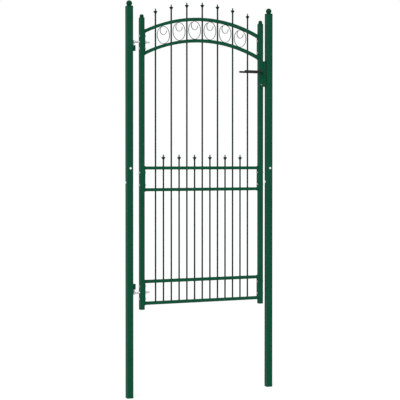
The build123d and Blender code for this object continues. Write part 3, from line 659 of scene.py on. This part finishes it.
def eyebolt(node_name):
    low, high = node_box(node_name)
    eye_radius = (high.y - low.y) / 2
    rod_radius = (high.z - low.z) / 2
    eye_centre = (low.x + eye_radius, 0, (low.z + high.z) / 2)
    bore = PIN_RADIUS + EYE_PIN_CLEARANCE
    mesh = bmesh.new()
    turned(mesh, eye_profile(eye_radius, bore), Matrix.Translation(eye_centre), EYE_STEPS)
    place = along((1, 0, 0), eye_centre)
    neck(mesh, eye_radius, bore, place)
    rod_end = high.x - eye_centre[0]
    thread(mesh, rod_radius, ROD_PITCH, eye_radius + ROD_IN_EYE, rod_end, place)
    piece = finish_mesh(mesh, node_name + "_threaded", sharp_degrees=50)
    dress(piece, zinc_plate, "leaf")
    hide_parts(node_name)


for node_name in ("upper_eyebolt", "lower_eyebolt"):
    eyebolt(node_name)

# %% Nuts on the eyebolts
EYEBOLT_NUT_BORE = 0.0061

nut_mesh = bmesh.new()
for low, high in solid_boxes("eyebolt_nuts"):
    across = min(high.y - low.y, high.z - low.z)
    place = along((1, 0, 0), (low.x, (low.y + high.y) / 2, (low.z + high.z) / 2))
    hexagon(nut_mesh, across, high.x - low.x, place, bore=EYEBOLT_NUT_BORE, both_ends=True)
nuts = finish_mesh(nut_mesh, "eyebolt_nuts_chamfered", sharp_degrees=28)
dress(nuts, zinc_plate, "leaf")
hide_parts("eyebolt_nuts")

# %% [markdown]
# Bolts through the stiles and the posts
# The leaf comes in pieces and is bolted together: each bolt has its head on the outside of the
# stile and its nut against the end plate. Only the ends show, so the plain shank between them is
# left smooth, and the last millimetres past the nut are threaded. The two lengths of each post
# are joined by short bolts into the sleeve inside, one from the front and one from the side.

# %% Bolts, washers and nuts in the stiles
BOLT_ACROSS = 0.013
BOLT_HEAD = 0.0053
BOLT_NUT = 0.0065
BOLT_END = 0.003
BOLT_RADIUS = 0.004
BOLT_PITCH = 0.00125
THREAD_IN_NUT = 0.001
SHANK_STEPS = 24
SHANK_RADIUS = BOLT_RADIUS - 2e-5
WASHER_STEPS = 40
WASHER = 0.0010
WASHER_PROFILE = [
    (BOLT_RADIUS, 0.0), (0.0076, 0.0), (0.0080, 0.0002), (0.0080, WASHER),
    (BOLT_RADIUS, WASHER), (BOLT_RADIUS, 0.0),
]


def raised(place, height):
    return place @ Matrix.Translation((0, 0, height))


def bolt_head(mesh, height, place):
    hexagon(mesh, BOLT_ACROSS, height, raised(place, height) @ Matrix.Rotation(math.pi, 4, "X"))


def shank(mesh, radius, start, end, place):
    turned(mesh, [(0.0, start), (radius, start), (radius, end), (0.0, end)], place, SHANK_STEPS)


def through_bolts(node_name, sense):
    mesh = bmesh.new()
    for low, high in solid_boxes(node_name):
        head_x = low.x if sense > 0 else high.x
        place = along((sense, 0, 0), (head_x, (low.y + high.y) / 2, (low.z + high.z) / 2))
        length = high.x - low.x
        nut_start = length - BOLT_END - BOLT_NUT
        bolt_head(mesh, BOLT_HEAD - WASHER, place)
        turned(mesh, WASHER_PROFILE, raised(place, BOLT_HEAD - WASHER), WASHER_STEPS)
        shank(mesh, SHANK_RADIUS, BOLT_HEAD, nut_start, place)
        nut = raised(place, nut_start)
        hexagon(mesh, BOLT_ACROSS, BOLT_NUT, nut, bore=BOLT_RADIUS, both_ends=True)
        thread_start = length - BOLT_END - THREAD_IN_NUT
        thread(mesh, BOLT_RADIUS, BOLT_PITCH, thread_start, length, place)
    piece = finish_mesh(mesh, node_name + "_hexagon", sharp_degrees=28)
    dress(piece, zinc_plate, "leaf")
    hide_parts(node_name)


for node_name, sense in (("hinge_side_bolts", 1), ("lock_side_bolts", -1)):
    through_bolts(node_name, sense)

# %% Splice bolts in the posts
def splice_bolts(node_name):
    mesh = bmesh.new()
    for low, high in solid_boxes(node_name):
        centre = (low + high) / 2
        if high.y - low.y < high.x - low.x:
            length = high.y - low.y
            place = along((0, 1, 0), (centre.x, low.y, centre.z))
        else:
            length = high.x - low.x
            place = along((1, 0, 0), (low.x, centre.y, centre.z))
        bolt_head(mesh, BOLT_HEAD, place)
        shank(mesh, BOLT_RADIUS, BOLT_HEAD, length, place)
    piece = finish_mesh(mesh, node_name + "_hexagon", sharp_degrees=28)
    dress(piece, zinc_bright, "posts")
    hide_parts(node_name)


for node_name in ("hinge_post_bolts", "lock_post_bolts"):
    splice_bolts(node_name)

# %% [markdown]
# Spear tips
# Each bar ends in a turned spear: a thin point, a thin disc with a slightly hollow top, and a
# cone that runs back to the bar. It could be modelled face by face, but it was made on a lathe,
# so turning its profile is both the quickest and the truest way. The profile is written from
# the point down, in millimetres.

# %% Turned spear tips
MM = 0.001
TIP_STEPS = 40
TIP_PROFILE = [
    (0.0, 0.0), (1.3, -0.4), (2.2, -1.4), (3.0, -3.4), (3.6, -6.0), (3.9, -9.5), (4.1, -13.0),
    (4.7, -15.3), (6.2, -16.6), (8.6, -17.1), (11.4, -17.2), (12.3, -17.7), (12.5, -18.8),
    (12.4, -20.2), (11.8, -21.6), (9.9, -24.6), (7.9, -27.6), (6.4, -30.0), (5.7, -31.6),
    (5.2, -33.0), (0.0, -33.0),
]


def spear_tips(node_name):
    mesh = bmesh.new()
    profile = [(radius * MM, level * MM) for radius, level in TIP_PROFILE]
    for low, high in solid_boxes(node_name):
        point = ((low.x + high.x) / 2, (low.y + high.y) / 2, high.z)
        turned(mesh, profile, Matrix.Translation(point), TIP_STEPS)
    piece = finish_mesh(mesh, node_name + "_turned", sharp_degrees=60)
    # the tips take the darker copy of the coat: painted shade for round pieces
    dress(piece, green_coat_painted_shade_round, "leaf")
    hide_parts(node_name)


for node_name in ("long_bar_tips", "short_bar_tips"):
    spear_tips(node_name)

# %% [markdown]
# Welds
# The leaf is welded before it is coated, so every bar has a small ring of weld where it meets a
# rail. Up close these rings are what makes a gate look made. A plain ring would look moulded, so
# each bead swells and shrinks a little as it goes round, from a seeded random start. On the
# arches the ring tilts with the slope of the tube.

# %% One uneven ring of weld
WELD_SIZE = 0.0022
WELD_STEPS = 28
WELD_SWELL = 0.18
WELD_RIPPLE = 0.10
WELD_WAVES = 5
WELD_RIPPLES = 11
BEAD_ROWS = [math.pi / 2 * row / 4 for row in range(5)]
chance = random.Random(7)


def weld_ring(mesh, centre, radius, side, slope=0.0):
    start = chance.random() * 2 * math.pi
    waves = WELD_WAVES + chance.randrange(3)
    rings = []
    for angle in BEAD_ROWS:
        points = []
        for turn in full_turn(WELD_STEPS):
            swell = WELD_SWELL * math.sin(waves * turn + start)
            ripple = WELD_RIPPLE * math.sin(WELD_RIPPLES * turn + 2 * start)
            size = WELD_SIZE * (1.0 + swell + ripple)
            reach = radius + size * (1 - math.sin(angle))
            lift = size * (1 - math.cos(angle))
            x = reach * math.cos(turn)
            points.append(centre + Vector((x, reach * math.sin(turn), side * lift + slope * x)))
        rings.append(ring(mesh, points))
    root = round_points(radius, WELD_STEPS)
    rings.append(ring(mesh, [centre + Vector((x, y, slope * x)) for x, y in root]))
    skin(mesh, rings, closed=True)


print("a bead of weld is", WELD_SIZE, "wide and swells by up to", WELD_SWELL + WELD_RIPPLE)

# %% The arches as circles
Arch = namedtuple("Arch", "middle_x middle_z radius tube")


def arch_circle(node_name):
    low, high = node_box(node_name)
    tube = high.y - low.y
    half = (high.x - low.x) / 2
    rise = high.z - low.z
    outer = (half**2 + rise**2 - tube**2) / (2 * (rise - tube))
    return Arch((low.x + high.x) / 2, high.z - outer, outer - tube / 2, tube)


def arch_at(arch, x):
    height = math.sqrt(arch.radius**2 - (x - arch.middle_x) ** 2)
    slope = -(x - arch.middle_x) / height
    half_tube = arch.tube / 2 * math.sqrt(1 + slope**2)
    return arch.middle_z + height, slope, half_tube


arches = {name: arch_circle(name) for name in ("upper_arch", "lower_arch")}
print("arch radii", [round(arch.radius, 4) for arch in arches.values()])

# %% Weld rings round the bars
RAILS = ("bottom_rail_lower", "bottom_rail_upper", "middle_rail_lower", "middle_rail_upper")

weld_mesh = bmesh.new()
long_bar_xs = [((low + high) / 2).x for low, high in long_bar_boxes]
short_bar_xs = [((low + high) / 2).x for low, high in short_bar_boxes]
bar_radius = (long_bar_boxes[0][1].y - long_bar_boxes[0][0].y) / 2
for rail in RAILS:
    low, high = node_box(rail)
    for x in long_bar_xs + short_bar_xs:
        weld_ring(weld_mesh, Vector((x, 0, high.z)), bar_radius, 1)
        if rail != "bottom_rail_lower":
            weld_ring(weld_mesh, Vector((x, 0, low.z)), bar_radius, -1)
for arch in arches.values():
    for x in long_bar_xs:
        z, slope, half = arch_at(arch, x)
        weld_ring(weld_mesh, Vector((x, 0, z + half)), bar_radius, 1, slope)
        weld_ring(weld_mesh, Vector((x, 0, z - half)), bar_radius, -1, slope)
bar_welds = finish_mesh(weld_mesh, "bar_welds", sharp_degrees=70)
dress(bar_welds, green_coat, "leaf")

# %% [markdown]
# Weld seams
# Where a tube is welded end on to a plate, the bead follows the outline of the tube. The outline
# is walked once, with its outward direction at every point, and the bead is built on it. The
# same seam holds the hinge blocks and the lock case further down.

# %% A seam along the outline of a tube
SEAM_SWELL = 0.16
SEAM_ROUGHNESS = 0.12
SEAM_WAVE = 0.9
CORNER_STEPS = 3
CORNER_SIDES = ((1, 1), (-1, 1), (-1, -1), (1, -1))


def tube_outline(half_y, half_z, corner, steps_per_side=10):
    def corner_point(quarter, share):
        side_y, side_z = CORNER_SIDES[quarter % 4]
        angle = math.pi / 2 * (quarter + share)
        out_y, out_z = math.cos(angle), math.sin(angle)
        y = side_y * (half_y - corner) + corner * out_y
        z = side_z * (half_z - corner) + corner * out_z
        return y, z, out_y, out_z

    outline = []
    for quarter in range(4):
        for i in range(CORNER_STEPS + 1):
            outline.append(corner_point(quarter, i / CORNER_STEPS))
        y, z = outline[-1][:2]
        end_y, end_z, out_y, out_z = corner_point(quarter + 1, 0)
        for i in range(1, steps_per_side):
            share = i / steps_per_side
            outline.append((y + (end_y - y) * share, z + (end_z - z) * share, out_y, out_z))
    return outline


def seam(mesh, outline, x, middle_z, side, size):
    rings = []
    for angle in BEAD_ROWS:
        points = []
        for i, (y, z, out_y, out_z) in enumerate(outline):
            uneven = SEAM_SWELL * math.sin(SEAM_WAVE * i) + SEAM_ROUGHNESS * chance.uniform(-1, 1)
            bead = size * (1.0 + uneven)
            reach = bead * (1 - math.sin(angle))
            lift = bead * (1 - math.cos(angle))
            points.append((x + side * lift, y + out_y * reach, middle_z + z + out_z * reach))
        rings.append(ring(mesh, points))
    rings.append(ring(mesh, [(x, y, middle_z + z) for y, z, out_y, out_z in outline]))
    skin(mesh, rings, closed=True)


print("a tube outline has", len(tube_outline(1, 1, 0.1)), "points")

# %% Seams where the rails meet the end plates
RAIL_CORNER = 0.0015

seam_mesh = bmesh.new()
for rail in RAILS:
    low, high = node_box(rail)
    half = (high.y - low.y) / 2
    for x, side in ((low.x, 1), (high.x, -1)):
        outline = tube_outline(half, half, RAIL_CORNER)
        seam(seam_mesh, outline, x, (low.z + high.z) / 2, side, WELD_SIZE)
for name, arch in arches.items():
    low, high = node_box(name)
    for x, side in ((low.x, 1), (high.x, -1)):
        z, slope, half_tube = arch_at(arch, x)
        outline = tube_outline(arch.tube / 2, half_tube, RAIL_CORNER)
        seam(seam_mesh, outline, x, z, side, WELD_SIZE)
rail_seams = finish_mesh(seam_mesh, "rail_end_welds", sharp_degrees=70)
dress(rail_seams, green_coat, "leaf")

# %% [markdown]
# Scroll welds
# Each scroll is held by one short weld above and one below, where the oval touches the sloping
# rails. The touching point is not straight above the middle: on a slope it moves round the oval
# until the oval's own slope is the same. A small uneven dome sits there and swallows the strip.

# %% One small dome of weld
DOME_HALF_LENGTH = 0.0042
DOME_HALF_WIDTH = 0.0034
DOME_HEIGHT = 0.0019
DOME_STEPS = 24
DOME_ROWS = 5
DOME_SWELL = 0.12
DOME_RIPPLE = 0.06
DOME_WAVES = 3
DOME_RIPPLES = 7


def weld_dome(mesh, foot, slope, side):
    run = Vector((1, 0, slope)).normalized()
    lift = Vector((-slope, 0, 1)).normalized() * side
    start = chance.uniform(0, 2 * math.pi)
    rings = []
    for row in range(DOME_ROWS):
        angle = math.pi / 2 * row / DOME_ROWS
        points = []
        for turn in full_turn(DOME_STEPS):
            swell = DOME_SWELL * math.sin(DOME_WAVES * turn + start)
            ripple = DOME_RIPPLE * math.sin(DOME_RIPPLES * turn + 2 * start)
            reach = math.cos(angle) * (1.0 + swell + ripple)
            along_run = run * (DOME_HALF_LENGTH * reach * math.cos(turn))
            across = Vector((0, DOME_HALF_WIDTH * reach * math.sin(turn), 0))
            rise = lift * (DOME_HEIGHT * math.sin(angle))
            points.append(foot + along_run + across + rise)
        rings.append(ring(mesh, points))
    skin(mesh, rings, capped=True)


print("a dome is", DOME_HEIGHT, "high")

# %% Domes above and below each scroll
dome_mesh = bmesh.new()
for low, high in solid_boxes("scrolls"):
    centre_x = ((low + high) / 2).x
    slope = arch_at(arches["upper_arch"], centre_x)[1]
    half_wide = (high.x - low.x) / 2
    half_tall = (high.z - low.z) / 2
    offset = -slope * half_wide**2 / math.sqrt(half_tall**2 + (half_wide * slope) ** 2)
    for name, side in (("upper_arch", -1), ("lower_arch", 1)):
        x = centre_x - side * offset
        z, local_slope, half_tube = arch_at(arches[name], x)
        weld_dome(dome_mesh, Vector((x, 0, z + side * half_tube)), local_slope, side)
scroll_welds = finish_mesh(dome_mesh, "scroll_welds", sharp_degrees=70)
# the domes take the darker copy of the coat used on round pieces: painted shade
dress(scroll_welds, green_coat_painted_shade_round, "leaf")

# %% [markdown]
# Hinge blocks and their pins
# The block is a short piece of square bar welded to the post and coated with it. The pin is a
# plain plated shaft pressed into it, and it is bright between the block and the eye. One solid
# carries both in the construction, so here it becomes two pieces with a finish each.

# %% Coated blocks
BLOCK_HEIGHT = 0.034
BLOCK_CORNER = 0.003
BLOCK_CORNER_STEPS = 6
BLOCK_EDGE = 0.0008


def block_outline(low, high, inset):
    far = high.x - inset
    side = (high.y - low.y) / 2 - inset
    radius = BLOCK_CORNER - inset / 2
    points = [(low.x, -side)]
    for quarter, y in ((-1, radius - side), (0, side - radius)):
        for i in range(BLOCK_CORNER_STEPS + 1):
            angle = math.pi / 2 * (quarter + i / BLOCK_CORNER_STEPS)
            points.append((far - radius + radius * math.cos(angle), y + radius * math.sin(angle)))
    points.append((low.x, side))
    return points


def hinge_block(node_name, foot, sense):
    low, high = node_box(node_name)
    mesh = bmesh.new()
    rings = []
    for inset, rise in (
        (BLOCK_EDGE, 0), (0, BLOCK_EDGE),
        (0, BLOCK_HEIGHT - BLOCK_EDGE), (BLOCK_EDGE, BLOCK_HEIGHT),
    ):
        outline = block_outline(low, high, inset)
        rings.append(ring(mesh, [(x, y, foot + sense * rise) for x, y in outline]))
    skin(mesh, rings, capped=True)
    piece = finish_mesh(mesh, node_name + "_block")
    dress(piece, green_coat, "posts")
    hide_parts(node_name)


print("a block is", BLOCK_HEIGHT, "high")

# %% Bright pins
PIN_CHAMFER = 0.0012
PIN_STEPS = 40
PIN_COLLAR = [(0.0012, 0.0), (0.0004, 0.0004), (0.0, 0.0013)]
pin_x = frame["record"]["behaviour"]["joints"][0]["pos_m"][0]


def hinge_shaft(node_name, foot, sense):
    low, high = node_box(node_name)
    length = high.z - low.z - BLOCK_HEIGHT
    collar = [(PIN_RADIUS + wider, level) for wider, level in PIN_COLLAR]
    end = [(PIN_RADIUS, length - PIN_CHAMFER), (PIN_RADIUS - PIN_CHAMFER, length)]
    mesh = bmesh.new()
    place = along((0, 0, sense), (pin_x, 0, foot + sense * BLOCK_HEIGHT))
    turned(mesh, [(0.0, 0.0)] + collar + end + [(0.0, length)], place, PIN_STEPS)
    piece = finish_mesh(mesh, node_name + "_shaft", sharp_degrees=30)
    dress(piece, zinc_plate, "posts")
    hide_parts(node_name)


print("the pins stand at x", pin_x)

# %% Both hinge pins and the welds of their blocks
BLOCK_WELD = 0.0026
BLOCK_HALF_WIDTH = 0.010
BLOCK_FOOT_CORNER = 0.0006

block_seams = bmesh.new()
for node_name, sense in (("upper_hinge_pin", 1), ("lower_hinge_pin", -1)):
    low, high = node_box(node_name)
    foot = low.z if sense > 0 else high.z
    hinge_block(node_name, foot, sense)
    hinge_shaft(node_name, foot, sense)
    outline = tube_outline(BLOCK_HALF_WIDTH, BLOCK_HEIGHT / 2, BLOCK_FOOT_CORNER)
    seam(block_seams, outline, low.x, foot + sense * BLOCK_HEIGHT / 2, 1, BLOCK_WELD)
block_welds = finish_mesh(block_seams, "hinge_block_welds", sharp_degrees=70)
dress(block_welds, green_coat, "posts")

# %% [markdown]
# Lock cylinder
# In the picture only the small round plug of the cylinder catches the light, and the body round
# it is as dark as the coat. The body keeps the keyhole outline of a profile cylinder, with a
# bored seat at each end. The plug turns in that seat and has a stepped keyway. A flat face with
# a dark line on it would do from afar, but a real slot goes dark by itself from every side.

# %% Outline and place of the cylinder
CYLINDER_WEB_HALF = 0.005
CYLINDER_EDGE = 0.0004
WEB_CHAMFER = 0.0008
BARREL_STEPS = 40

low, high = node_box("lock_cylinder")
front_y, back_y = low.y, high.y
barrel = (high.x - low.x) / 2
barrel_x = (low.x + high.x) / 2
barrel_z = high.z - barrel
foot_drop = barrel_z - low.z


def cylinder_outline(inset):
    radius, web, foot = barrel - inset, CYLINDER_WEB_HALF - inset, foot_drop - inset
    meet = math.asin(web / radius)
    points = []
    for i in range(BARREL_STEPS + 1):
        angle = -math.pi / 2 + meet + (2 * math.pi - 2 * meet) * i / BARREL_STEPS
        points.append((radius * math.cos(angle), radius * math.sin(angle)))
    points += [(-web, WEB_CHAMFER - foot), (WEB_CHAMFER - web, -foot)]
    points += [(web - WEB_CHAMFER, -foot), (web, WEB_CHAMFER - foot)]
    return points


def cylinder_ring(mesh, points, y):
    return ring(mesh, [(barrel_x + x, y, barrel_z + z) for x, z in points])


def fill_between(mesh, *loops):
    edges = []
    for loop in loops:
        for first, second in zip(loop, loop[1:] + loop[:1]):
            edges.append(mesh.edges.get((first, second)) or mesh.edges.new((first, second)))
    bmesh.ops.triangle_fill(mesh, use_beauty=True, use_dissolve=False, edges=edges)


print("the cylinder's barrel is centred at", round(barrel_x, 4), round(barrel_z, 4))

# %% Cylinder body with a seat at each end
PLUG_SEAT = 0.0053
PLUG_DEPTH = 0.0060
PLUG_EDGE = 0.0003

body_mesh = bmesh.new()
rings = []
for inset, y in (
    (CYLINDER_EDGE, front_y), (0.0, front_y + CYLINDER_EDGE),
    (0.0, back_y - CYLINDER_EDGE), (CYLINDER_EDGE, back_y),
):
    rings.append(cylinder_ring(body_mesh, cylinder_outline(inset), y))
skin(body_mesh, rings)
for end_ring, inward, y in ((rings[0], 1, front_y), (rings[-1], -1, back_y)):
    seat = []
    for radius, depth in (
        (PLUG_SEAT + PLUG_EDGE, 0.0), (PLUG_SEAT, PLUG_EDGE), (PLUG_SEAT, PLUG_DEPTH),
    ):
        points = round_points(radius, BARREL_STEPS)
        seat.append(cylinder_ring(body_mesh, points, y + inward * depth))
    fill_between(body_mesh, end_ring, seat[0])
    skin(body_mesh, seat)
    body_mesh.faces.new(seat[-1])
cylinder_body = finish_mesh(body_mesh, "cylinder_body")
dress(cylinder_body, dark_cast, "leaf")
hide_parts("lock_cylinder")

# %% Bright plugs with a keyway
PLUG_RADIUS = 0.0050
KEYWAY_FLOOR = 0.0010
KEYWAY = [
    (-0.6, 3.7), (0.5, 3.7), (0.5, 1.6), (0.9, 1.3), (0.9, -0.2), (0.3, -0.5),
    (0.3, -3.7), (-0.9, -3.7), (-0.9, -1.8), (-0.5, -0.8), (-0.5, 0.6), (-0.6, 0.9),
]

plug_mesh = bmesh.new()
keyway = [(x * MM, z * MM) for x, z in KEYWAY]
for inward, y in ((1, front_y), (-1, back_y)):
    plug_rings = []
    for radius, depth in (
        (PLUG_RADIUS, PLUG_DEPTH), (PLUG_RADIUS, 0.0), (PLUG_RADIUS - PLUG_EDGE, -PLUG_EDGE),
    ):
        points = round_points(radius, BARREL_STEPS)
        plug_rings.append(cylinder_ring(plug_mesh, points, y + inward * depth))
    slot_top = cylinder_ring(plug_mesh, keyway, y - inward * PLUG_EDGE)
    slot_floor = cylinder_ring(plug_mesh, keyway, y + inward * (PLUG_DEPTH - KEYWAY_FLOOR))
    skin(plug_mesh, plug_rings)
    plug_mesh.faces.new(plug_rings[0])
    fill_between(plug_mesh, plug_rings[-1], slot_top)
    bridge(plug_mesh, slot_top, slot_floor)
    plug_mesh.faces.new(slot_floor)
cylinder_plugs = finish_mesh(plug_mesh, "cylinder_plugs")
dress(cylinder_plugs, nickel_plate, "leaf")
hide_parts("lock_cylinder")

# %% [markdown]
# Roses and the lock case
# The roses are as green as the stile in the picture, so they are turned here with the coat on:
# a flat disc, a rolled rim and a shallow ring round the lever's neck. The lock case is tacked to
# the stile by a thin seam all round.

# %% Turned roses
ROSE_BORE = 0.0071
ROSE_STEPS = 56
ROSE_RIM = [(0.0, 0.0016), (0.0003, 0.0007), (0.0010, 0.0), (0.0024, 0.0), (0.0028, 0.0005)]
ROSE_NECK = [(0.0011, 0.0005), (0.0008, 0.0001), (0.0, 0.0001)]

rose_mesh = bmesh.new()
for low, high in solid_boxes("lever_roses"):
    centre = (low + high) / 2
    outward, seat_y = (-1, high.y) if high.y < 0 else (1, low.y)
    radius = (high.x - low.x) / 2
    depth = high.y - low.y
    rim = [(radius - inset, depth - fall) for inset, fall in ROSE_RIM]
    inner = [(ROSE_BORE + outset, depth - fall) for outset, fall in ROSE_NECK]
    profile = [(ROSE_BORE, 0.0), (radius, 0.0)] + rim + inner + [(ROSE_BORE, 0.0)]
    place = along((0, outward, 0), (centre.x, seat_y, centre.z))
    turned(rose_mesh, profile, place, ROSE_STEPS)
roses = finish_mesh(rose_mesh, "lever_roses_turned", sharp_degrees=30)
dress(roses, green_coat, "leaf")
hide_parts("lever_roses")

# %% Seam round the lock case
CASE_WELD = 0.0013
CASE_CORNER = 0.0004
CASE_STEPS = 40

low, high = node_box("lock_case")
case_mesh = bmesh.new()
outline = tube_outline((high.y - low.y) / 2, (high.z - low.z) / 2, CASE_CORNER, CASE_STEPS)
seam(case_mesh, outline, low.x, (low.z + high.z) / 2, 1, CASE_WELD)
case_weld = finish_mesh(case_mesh, "lock_case_weld", sharp_degrees=70)
dress(case_weld, green_coat, "leaf")

# %% [markdown]
# Ball caps
# A cast ball does not meet its base in a sharp crease: the mould leaves a small hollow fillet
# there. It is a narrow ring, turned to touch the ball on one side and the base on the other.
# Each ball is given by its radius and by how deep it sits in its base.

# %% Fillets under the balls
FILLET_RISE = 0.0016
FILLET_DEPTH = 0.0030
FILLET_CURVE = [(0.0007, 0.0), (0.0002, 0.0002), (-0.0001, 0.0007), (0.0, FILLET_RISE)]
FILLET_STEPS = 56
POST_BALL = (0.01850, 0.0030)
STILE_BALL = (0.01325, 0.0055)


def ball_fillet(mesh, node_name, ball_radius, sunk):
    low, high = node_box(node_name)
    base_top = high.z - 2 * ball_radius + sunk
    touch = math.sqrt(ball_radius**2 - (ball_radius - sunk - FILLET_RISE) ** 2)
    profile = [(touch + outset, base_top + rise) for outset, rise in FILLET_CURVE]
    inner = touch - FILLET_DEPTH
    profile += [(inner, base_top + FILLET_RISE), (inner, base_top), profile[0]]
    turned(mesh, profile, Matrix.Translation(((low.x + high.x) / 2, 0, 0)), FILLET_STEPS)


for body, cap_names, ball in (("posts", POST_CAPS, POST_BALL), ("leaf", STILE_CAPS, STILE_BALL)):
    fillet_mesh = bmesh.new()
    for node_name in cap_names:
        ball_fillet(fillet_mesh, node_name, *ball)
    fillets = finish_mesh(fillet_mesh, body + "_cap_fillets", sharp_degrees=50)
    # the fillets take the darker copy of the coat used on the balls: painted shade
    dress(fillets, green_coat_painted_shade_cap, body)
